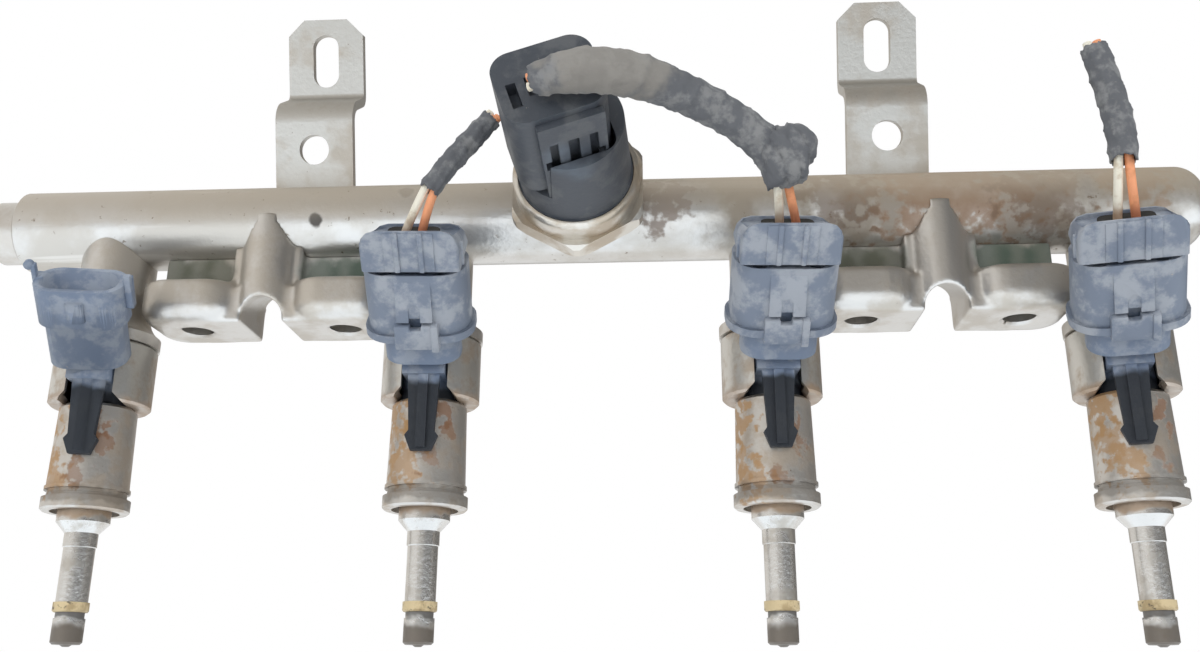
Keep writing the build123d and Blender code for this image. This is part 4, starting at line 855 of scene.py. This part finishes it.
@dataclass
class ForgedSaddle:
    """One saddle, softened from its node's shape as a brazed forging is."""

    side: str
    voxel: float = 0.00042
    passes: int = 26
    hole_d: float = 8.0
    mouth_d: float = 9.6

    def build(self, dresser: Dresser, frame: dict) -> None:
        """Models the saddle from a merged copy of its node."""
        node = frame["nodes"][f"mount_saddle_{self.side}"]
        saddle = Bench.copy_node(f"forged_saddle_{self.side}", node)
        Bench.cut(saddle, *self._reliefs())
        Bench.modify(saddle, "REMESH", mode="VOXEL", voxel_size=self.voxel, use_smooth_shade=True)
        Bench.modify(saddle, "SMOOTH", factor=0.5, iterations=self.passes)
        middle = SADDLE_X[self.side]
        Bench.cut(saddle, *[self._hole((middle + shift) * 1000) for shift in (-BOSS_X, BOSS_X)])
        Bench.modify(saddle, "DECIMATE", decimate_type="COLLAPSE", ratio=0.5)
        Bench.take(saddle)
        bpy.ops.object.shade_smooth_by_angle(angle=SMOOTH_ANGLE)
        Bench.finish(saddle, dresser, "saddle_steel", f"mount_saddle_{self.side}")

    def _reliefs(self) -> list[bpy.types.Object]:
        """The cutters that set the cradle back under the tube on each side of the ridge."""
        middle = SADDLE_X[self.side] * 1000
        made = []
        for side in (-1, 1):
            near, far = sorted((middle + side * 9.0, middle + side * 34.0))
            tool = Bench.block("recess_relief", (near, -20.0, 10.9), (far, -4.2, 26.0))
            tool.data.transform(MILLIMETRES)
            made.append(tool)
        return made

    def _hole(self, x: float) -> bpy.types.Object:
        """The cutter of one bolt hole with its bevelled mouth, in metres."""
        tool = Bench.drum("bolt_hole", self.hole_d / 2, (x, 0.0, -2.0), (x, 0.0, 13.0), 48)
        bpy.ops.object.select_all(action="DESELECT")
        wide, narrow = self.mouth_d / 2 + 0.8, self.hole_d / 2 - 0.4
        bpy.ops.mesh.primitive_cone_add(
            vertices=48, radius1=wide, radius2=narrow, depth=2.0, location=(x, 0.0, 0.2)
        )
        mouth = bpy.context.object
        bpy.ops.object.transform_apply(location=True, rotation=True, scale=True)
        Bench.fuse(tool, mouth)
        tool.data.transform(MILLIMETRES)
        return tool


@dataclass
class WirePair:
    """The cream and orange wires of one plug, and the tape round them."""

    number: int
    cream: tuple[Point, ...]
    orange: tuple[Point, ...]
    tape: tuple[Point, ...]
    tape_radii: tuple[float, ...]
    lengths: tuple[float, float]
    far_end: str
    wire_d: float = 0.002
    ring_step: float = 0.0006
    turn_step: float = 0.0062
    around: int = 40

    def build(self, dresser: Dresser) -> None:
        """Models and dresses both wires and their tape, and hides the nodes that they stand for."""
        tape = self._wrap(dresser)
        routes = (("cream", self.cream, self.lengths[0]), ("orange", self.orange, self.lengths[1]))
        for label, points, length in routes:
            wire = self._curve(f"{label}_lead_{self.number}", points, self.wire_d / 2)
            dresser.dress(wire, f"wire_{label}")
            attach(wire, "root")
            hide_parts(f"{label}_wire_{self.number}")
            with_pieces = [tape] if label == "cream" else []
            if label == "cream" and self.number == 3:
                with_pieces.append(FoldedTape().build(dresser))
            LOG.info("wire %s", wire.name)

    @staticmethod
    def _curve(name: str, points: tuple[Point, ...], radius: float) -> bpy.types.Object:
        """A smooth open spline through a route's control points."""
        data = bpy.data.curves.new(name, "CURVE")
        data.dimensions = "3D"
        data.resolution_u = 10
        data.bevel_depth = radius
        data.bevel_resolution = 4
        data.use_fill_caps = radius > 0
        spline = data.splines.new("NURBS")
        spline.points.add(len(points) - 1)
        for point, place in zip(spline.points, points):
            point.co = (*place, 1.0)
        spline.order_u = 3
        spline.use_endpoint_u = True
        piece = bpy.data.objects.new(name, data)
        bpy.context.scene.collection.objects.link(piece)
        return piece

    def _centreline(self) -> list[Vector]:
        """The tape's centre line, read from a spline on its route."""
        guide = self._curve(f"tape_guide_{self.number}", self.tape, 0.0)
        mesh = bpy.data.meshes.new_from_object(guide)
        line = [v.co.copy() for v in mesh.vertices]
        bpy.data.meshes.remove(mesh)
        bpy.data.objects.remove(guide)
        return line

    def _radius(self, share: float) -> float:
        """The tape's radius at a share of its length."""
        t = share * (len(self.tape_radii) - 1)
        low = min(int(t), len(self.tape_radii) - 2)
        return self.tape_radii[low] * (1 - t + low) + self.tape_radii[low + 1] * (t - low)

    def _skin(self) -> bmesh.types.BMesh:
        """The tape's outer face: overlapping turns, wrinkles and ragged ends."""
        line = self._centreline()
        rng = random.Random(40 + self.number)
        steps = [0.0]
        for a, b in zip(line, line[1:]):
            steps.append(steps[-1] + (b - a).length)
        total = steps[-1]
        rings = int(total / self.ring_step)
        mesh = bmesh.new()
        last_side = Vector((0.0, -1.0, 0.0))
        loops = []
        for ring in range(rings + 1):
            s = total * ring / rings
            k = max(i for i, v in enumerate(steps) if v <= s + 1e-12)
            k = min(k, len(line) - 2)
            run = (line[k + 1] - line[k]).normalized()
            spot = line[k] + run * (s - steps[k])
            side = (last_side - run * last_side.dot(run)).normalized()
            last_side = side
            other = run.cross(side)
            radius = self._radius(ring / rings)
            loop = []
            for step in range(self.around):
                angle = 2 * math.pi * step / self.around
                turn = (s / self.turn_step + step / self.around) % 1.0
                ridge = 0.00028 * max(0.0, 1.0 - turn * 5.0)
                crumple = 0.00022 * math.sin(5 * angle + 900 * s) * math.sin(3 * angle - 520 * s)
                ragged = rng.uniform(-0.00035, 0.00035) if ring in (0, rings) else 0.0
                out = radius - 0.0004 + ridge + crumple
                way = side * math.cos(angle) + other * math.sin(angle)
                loop.append(mesh.verts.new(spot + run * ragged + way * out))
            loops.append(loop)
        for a, b in zip(loops, loops[1:]):
            for step in range(self.around):
                after = (step + 1) % self.around
                mesh.faces.new((a[step], a[after], b[after], b[step]))
        return mesh

    def _wrap(self, dresser: Dresser) -> bpy.types.Object:
        """The wound tape with its thickness, in place of its node."""
        mesh = self._skin()
        data = bpy.data.meshes.new(f"tape_wrap_{self.number}")
        mesh.normal_update()
        mesh.to_mesh(data)
        mesh.free()
        piece = bpy.data.objects.new(f"tape_wrap_{self.number}", data)
        bpy.context.scene.collection.objects.link(piece)
        Bench.take(piece)
        bpy.ops.object.shade_smooth()
        Bench.modify(piece, "SOLIDIFY", thickness=0.0003, offset=-1.0)
        Bench.finish(piece, dresser, "loom_tape", f"tape_{self.number}")
        return piece


@dataclass
class FoldedTape:
    """The bunched end of the third loom's tape, just above its plug."""

    centre: Point = (0.0427, -0.0468, 0.0232)
    reach: Point = (0.0064, 0.0056, 0.0074)
    fold: float = 0.0011

    def build(self, dresser: Dresser) -> bpy.types.Object:
        """Models the lump with its creases and a side that bulges."""
        bpy.ops.object.select_all(action="DESELECT")
        bpy.ops.mesh.primitive_ico_sphere_add(subdivisions=5, radius=1.0, location=(0.0, 0.0, 0.0))
        lump = bpy.context.object
        lump.name = "folded_tape_3"
        for point in lump.data.vertices:
            way = point.co.normalized()
            crease = abs(math.sin(5.0 * way.x + 3.2 * way.z + 1.3 * way.y)) ** 0.5
            small = math.sin(17.0 * way.z + 9.0 * way.x) * math.sin(13.0 * way.x - 11.0 * way.y)
            broad = math.sin(2.6 * way.x + 1.1) * math.sin(3.1 * way.z - 0.6) * math.cos(1.9 * way.y)
            out = 1.0 + (crease - 0.8) * self.fold / self.reach[0] + 0.03 * small - 0.24 * broad
            if way.x > 0.1 and way.z > -0.1:
                out += 0.16 * (way.x + way.z)
            point.co = Vector(tuple(c + w * r * out for c, w, r in zip(self.centre, way, self.reach)))
        Bench.take(lump)
        bpy.ops.object.shade_smooth()
        dresser.dress(lump, "loom_tape")
        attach(lump, "root")
        LOG.info("piece %s", lump.name)
        return lump


@dataclass
class BareSocket:
    """The first injector's open socket, with its side hook and rail, in millimetres along its axis."""

    half_width: float = 10.3

    def build(self, dresser: Dresser, frame: dict) -> None:
        """Merges the node's flat faces and adds what stands at its sides."""
        socket = Bench.copy_node("open_socket_1", frame["nodes"]["socket_1"])
        Bench.modify(socket, "DECIMATE", decimate_type="DISSOLVE", angle_limit=0.02)
        Bench.modify(socket, "TRIANGULATE")
        side = self.half_width
        rail = Bench.block("side_rail", (side - 0.2, -1.6, 14.0), (side + 1.5, 0.2, 22.6))
        Bench.soften(rail, 0.35, 3)
        stem = Bench.block("hook_stem", (-side - 1.0, 0.6, 16.0), (-side + 0.2, 2.2, 23.6))
        Bench.soften(stem, 0.3, 3)
        curl = Bench.drum("hook_curl", 1.15, (-side - 1.4, 0.6, 23.2), (-side - 1.4, 2.2, 23.2), 24)
        Bench.soften(curl, 0.25, 2)
        place = socket_place(1)
        for part in (rail, stem, curl):
            part.data.transform(place)
        Bench.attach(socket, rail, stem, curl)
        bpy.ops.object.shade_smooth_by_angle(angle=0.6)
        Bench.finish(socket, dresser, "overmould_plastic", "socket_1")


WIRE_PAIRS = (
    WirePair(
        number=2,
        cream=(
            (-0.04276, -0.03129, 0.00796), (-0.04266, -0.03321, 0.0097), (-0.04258, -0.03485, 0.01117),
            (-0.04253, -0.03574, 0.01197), (-0.03736, -0.041, 0.02015), (-0.03491, -0.041, 0.02442),
            (-0.0295, -0.04, 0.03173), (-0.02431, -0.0382, 0.03942), (-0.02343, -0.0379, 0.04072),
        ),
        orange=(
            (-0.03897, -0.03109, 0.00796), (-0.03887, -0.03302, 0.0097), (-0.03878, -0.03465, 0.01117),
            (-0.03873, -0.03554, 0.01197), (-0.03544, -0.041, 0.01905), (-0.03309, -0.041, 0.02318),
            (-0.0277, -0.04, 0.03047), (-0.02249, -0.0382, 0.03818), (-0.02161, -0.0379, 0.03949),
        ),
        tape=(
            (-0.0364, -0.041, 0.0196), (-0.034, -0.041, 0.0238), (-0.0286, -0.04, 0.0311),
            (-0.0234, -0.0382, 0.0388),
        ),
        tape_radii=(0.0027, 0.0029, 0.0029, 0.0028),
        lengths=(0.043, 0.0415),
        far_end="bare",
    ),
    WirePair(
        number=3,
        cream=(
            (0.04224, -0.03129, 0.00796), (0.04234, -0.03321, 0.0097), (0.04242, -0.03485, 0.01117),
            (0.04247, -0.03574, 0.01197), (0.04172, -0.0436, 0.01739), (0.04073, -0.0458, 0.02313),
            (0.03309, -0.0504, 0.02863), (0.02375, -0.0554, 0.03193), (0.01356, -0.0627, 0.0331),
            (0.0037, -0.0677, 0.0326), (-0.00446, -0.0685, 0.03141), (-0.00949, -0.0666, 0.03091),
            (-0.01098, -0.06603, 0.03076),
        ),
        orange=(
            (0.04603, -0.03109, 0.00796), (0.04613, -0.03302, 0.0097), (0.04622, -0.03465, 0.01117),
            (0.04627, -0.03554, 0.01197), (0.04388, -0.0436, 0.01781), (0.04247, -0.0458, 0.02447),
            (0.03411, -0.0504, 0.03057), (0.02425, -0.0554, 0.03407), (0.01364, -0.0627, 0.0353),
            (0.0035, -0.0677, 0.0348), (-0.00474, -0.0685, 0.03359), (-0.00971, -0.0666, 0.03309),
            (-0.0112, -0.06603, 0.03295),
        ),
        tape=(
            (0.0428, -0.0436, 0.0176), (0.0416, -0.0458, 0.0238), (0.0336, -0.0504, 0.0296),
            (0.024, -0.0554, 0.033), (0.0136, -0.0627, 0.0342), (0.0036, -0.0677, 0.0337),
            (-0.0046, -0.0685, 0.0325), (-0.0096, -0.0666, 0.032),
        ),
        tape_radii=(0.004, 0.0044, 0.0044, 0.0045, 0.0048, 0.0052, 0.005, 0.0038),
        lengths=(0.083, 0.086),
        far_end="object",
    ),
    WirePair(
        number=4,
        cream=(
            (0.1181, -0.02984, 0.00796), (0.11763, -0.03172, 0.0097), (0.11724, -0.0333, 0.01117),
            (0.11702, -0.03417, 0.01197), (0.11581, -0.042, 0.02272), (0.1163, -0.042, 0.02698),
            (0.11551, -0.042, 0.03825), (0.11312, -0.042, 0.05039), (0.11281, -0.042, 0.05196),
        ),
        orange=(
            (0.12179, -0.03076, 0.00796), (0.12132, -0.03264, 0.0097), (0.12093, -0.03422, 0.01117),
            (0.12071, -0.03509, 0.01197), (0.11799, -0.042, 0.02248), (0.1185, -0.042, 0.02702),
            (0.11769, -0.042, 0.03855), (0.11528, -0.042, 0.05081), (0.11497, -0.042, 0.05238),
        ),
        tape=(
            (0.1169, -0.042, 0.0226), (0.1174, -0.042, 0.027), (0.1166, -0.042, 0.0384),
            (0.1142, -0.042, 0.0506),
        ),
        tape_radii=(0.0033, 0.0036, 0.0034, 0.0034),
        lengths=(0.049, 0.049),
        far_end="bare",
    ),
)


@dataclass(frozen=True)
class Lamp:
    """One soft square lamp turned to a point, which no shiny surface mirrors."""

    name: str
    place: Point
    aim: Point
    size: float
    power: float

    def build(self) -> None:
        """Sets up the lamp."""
        data = bpy.data.lights.new(self.name, "AREA")
        data.size = self.size
        data.energy = self.power
        lamp = bpy.data.objects.new(self.name, data)
        lamp.visible_glossy = False
        bpy.context.scene.collection.objects.link(lamp)
        lamp.location = self.place
        lamp.rotation_euler = (Vector(self.aim) - Vector(self.place)).to_track_quat("-Z", "Y").to_euler()


LAMPS = (
    Lamp("key", (-0.30, -0.75, -0.02), (0.0, 0.0, 0.01), 0.7, 3.5),
    Lamp("fill", (0.65, -0.55, 0.35), (0.0, 0.0, 0.01), 0.6, 2.0),
    Lamp("top", (-0.1, 0.15, 0.85), (0.0, 0.0, 0.0), 0.7, 3.5),
)
BELOW: Colour = (0.50, 0.50, 0.50)
HORIZON: Colour = (0.50, 0.475, 0.44)
ZENITH: Colour = (0.27, 0.24, 0.195)
BRIGHT_LEFT: Colour = (1.0, 0.98, 0.95)
DARK_RIGHT: Colour = (0.13, 0.125, 0.12)
FLOOR_FAR: Colour = (0.46, 0.47, 0.48)
FLOOR_NEAR: Colour = (0.78, 0.90, 1.03)


@dataclass
class Studio:
    """The camera, lights, floor and world."""

    lens_mm: float = 33.6
    camera_at: Point = (0.016278, -0.269463, -0.087732)
    right: Point = (0.99822792, 0.05945382, 0.00250242)
    down: Point = (-0.01603832, 0.30930336, -0.95082817)
    forward: Point = (-0.05730437, 0.94910309, 0.30970878)
    floor_z: float = -0.125

    def build(self) -> None:
        """Makes the camera, the lamps, the floor and the world."""
        self._camera()
        for lamp in LAMPS:
            lamp.build()
        self._floor()
        self._world()
        bpy.context.scene.view_settings.view_transform = "Standard"

    def _camera(self) -> None:
        """The camera, where the photograph was taken from."""
        data = bpy.data.cameras.new("view")
        data.lens = self.lens_mm
        data.sensor_width = 36.0
        data.sensor_fit = "HORIZONTAL"
        data.clip_start = 0.005
        camera = bpy.data.objects.new("view", data)
        bpy.context.scene.collection.objects.link(camera)
        axes = (Vector(self.right), -Vector(self.down), -Vector(self.forward))
        turn = Matrix([[axis[row] for axis in axes] for row in range(3)]).to_4x4()
        camera.matrix_world = Matrix.Translation(self.camera_at) @ turn
        bpy.context.scene.camera = camera

    def _floor(self) -> None:
        """A plain pale floor, brighter near the part where a shiny surface mirrors it."""
        bpy.ops.object.select_all(action="DESELECT")
        bpy.ops.mesh.primitive_plane_add(size=6.0, location=(0.0, 0.0, self.floor_z))
        floor = bpy.context.object
        floor.name = "pale_floor"
        made = bpy.data.materials.new("pale_floor")
        made.use_nodes = True
        graph = Graph(made.node_tree)
        shader = made.node_tree.nodes["Principled BSDF"]
        shader.inputs["Base Color"].default_value = (0.86, 0.86, 0.86, 1.0)
        shader.inputs["Roughness"].default_value = 0.9
        split = graph.node("SeparateXYZ")
        graph.link(graph.node("TexCoord").outputs["Object"], split.inputs[0])
        near = graph.ramp(split.outputs["Y"], 0.09, 0.03)
        graph.link(graph.mix(near, rgba(FLOOR_FAR), rgba(FLOOR_NEAR)), shader.inputs["Emission Color"])
        graph.link(graph.node("LightPath").outputs["Is Glossy Ray"], shader.inputs["Emission Strength"])
        floor.data.materials.append(made)

    @staticmethod
    def _world() -> None:
        """A white backdrop, with a plainer light and quieter reflections for the object."""
        world = bpy.data.worlds.new("backdrop")
        bpy.context.scene.world = world
        world.use_nodes = True
        graph = Graph(world.node_tree)
        world.node_tree.nodes.clear()
        path = graph.node("LightPath")
        seen = graph.maths("MAXIMUM", path.outputs["Is Camera Ray"], path.outputs["Is Transmission Ray"])
        split = graph.node("SeparateXYZ")
        graph.link(graph.node("TexCoord").outputs["Generated"], split.inputs[0])
        level = graph.mix(graph.ramp(split.outputs["Z"], -0.25, 0.15), rgba(BELOW), rgba(HORIZON))
        level = graph.mix(graph.ramp(split.outputs["Z"], 0.30, 0.80), level, rgba(ZENITH))
        level = graph.mix(graph.ramp(split.outputs["X"], -0.15, -0.60), level, rgba(BRIGHT_LEFT))
        shaded = graph.maths("MULTIPLY", graph.ramp(split.outputs["X"], 0.08, 0.50), 0.85)
        level = graph.mix(shaded, level, rgba(DARK_RIGHT))
        plain = graph.node("Background")
        plain.inputs["Color"].default_value = (0.93, 0.97, 1.0, 1.0)
        plain.inputs["Strength"].default_value = 0.5
        white = graph.node("Background")
        white.inputs["Color"].default_value = (1.0, 1.0, 1.0, 1.0)
        glossy = graph.node("Background")
        graph.link(level, glossy.inputs["Color"])
        first = graph.node("MixShader")
        graph.link(path.outputs["Is Glossy Ray"], first.inputs[0])
        graph.link(plain.outputs[0], first.inputs[1])
        graph.link(glossy.outputs[0], first.inputs[2])
        second = graph.node("MixShader")
        graph.link(seen, second.inputs[0])
        graph.link(first.outputs[0], second.inputs[1])
        graph.link(white.outputs[0], second.inputs[2])
        end = graph.node("OutputWorld")
        graph.link(second.outputs[0], end.inputs["Surface"])


def main() -> None:
    """Loads the frame and builds the sub-assemblies in order."""
    logging.basicConfig(level=logging.INFO, format="%(message)s")
    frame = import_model()
    Studio().build()
    dresser = Dresser()
    dresser.prepare()
    dresser.dress_nodes(frame)
    dresser.dress(frame["nodes"]["sensor_plug"], "sensor_plastic")
    for side in SADDLE_X:
        ForgedSaddle(side).build(dresser, frame)
    BareSocket().build(dresser, frame)
    for number in (2, 3, 4):
        InjectorPlug(number).build(dresser)
    for pair in WIRE_PAIRS:
        pair.build(dresser)


if __name__ == "__main__":
    main()
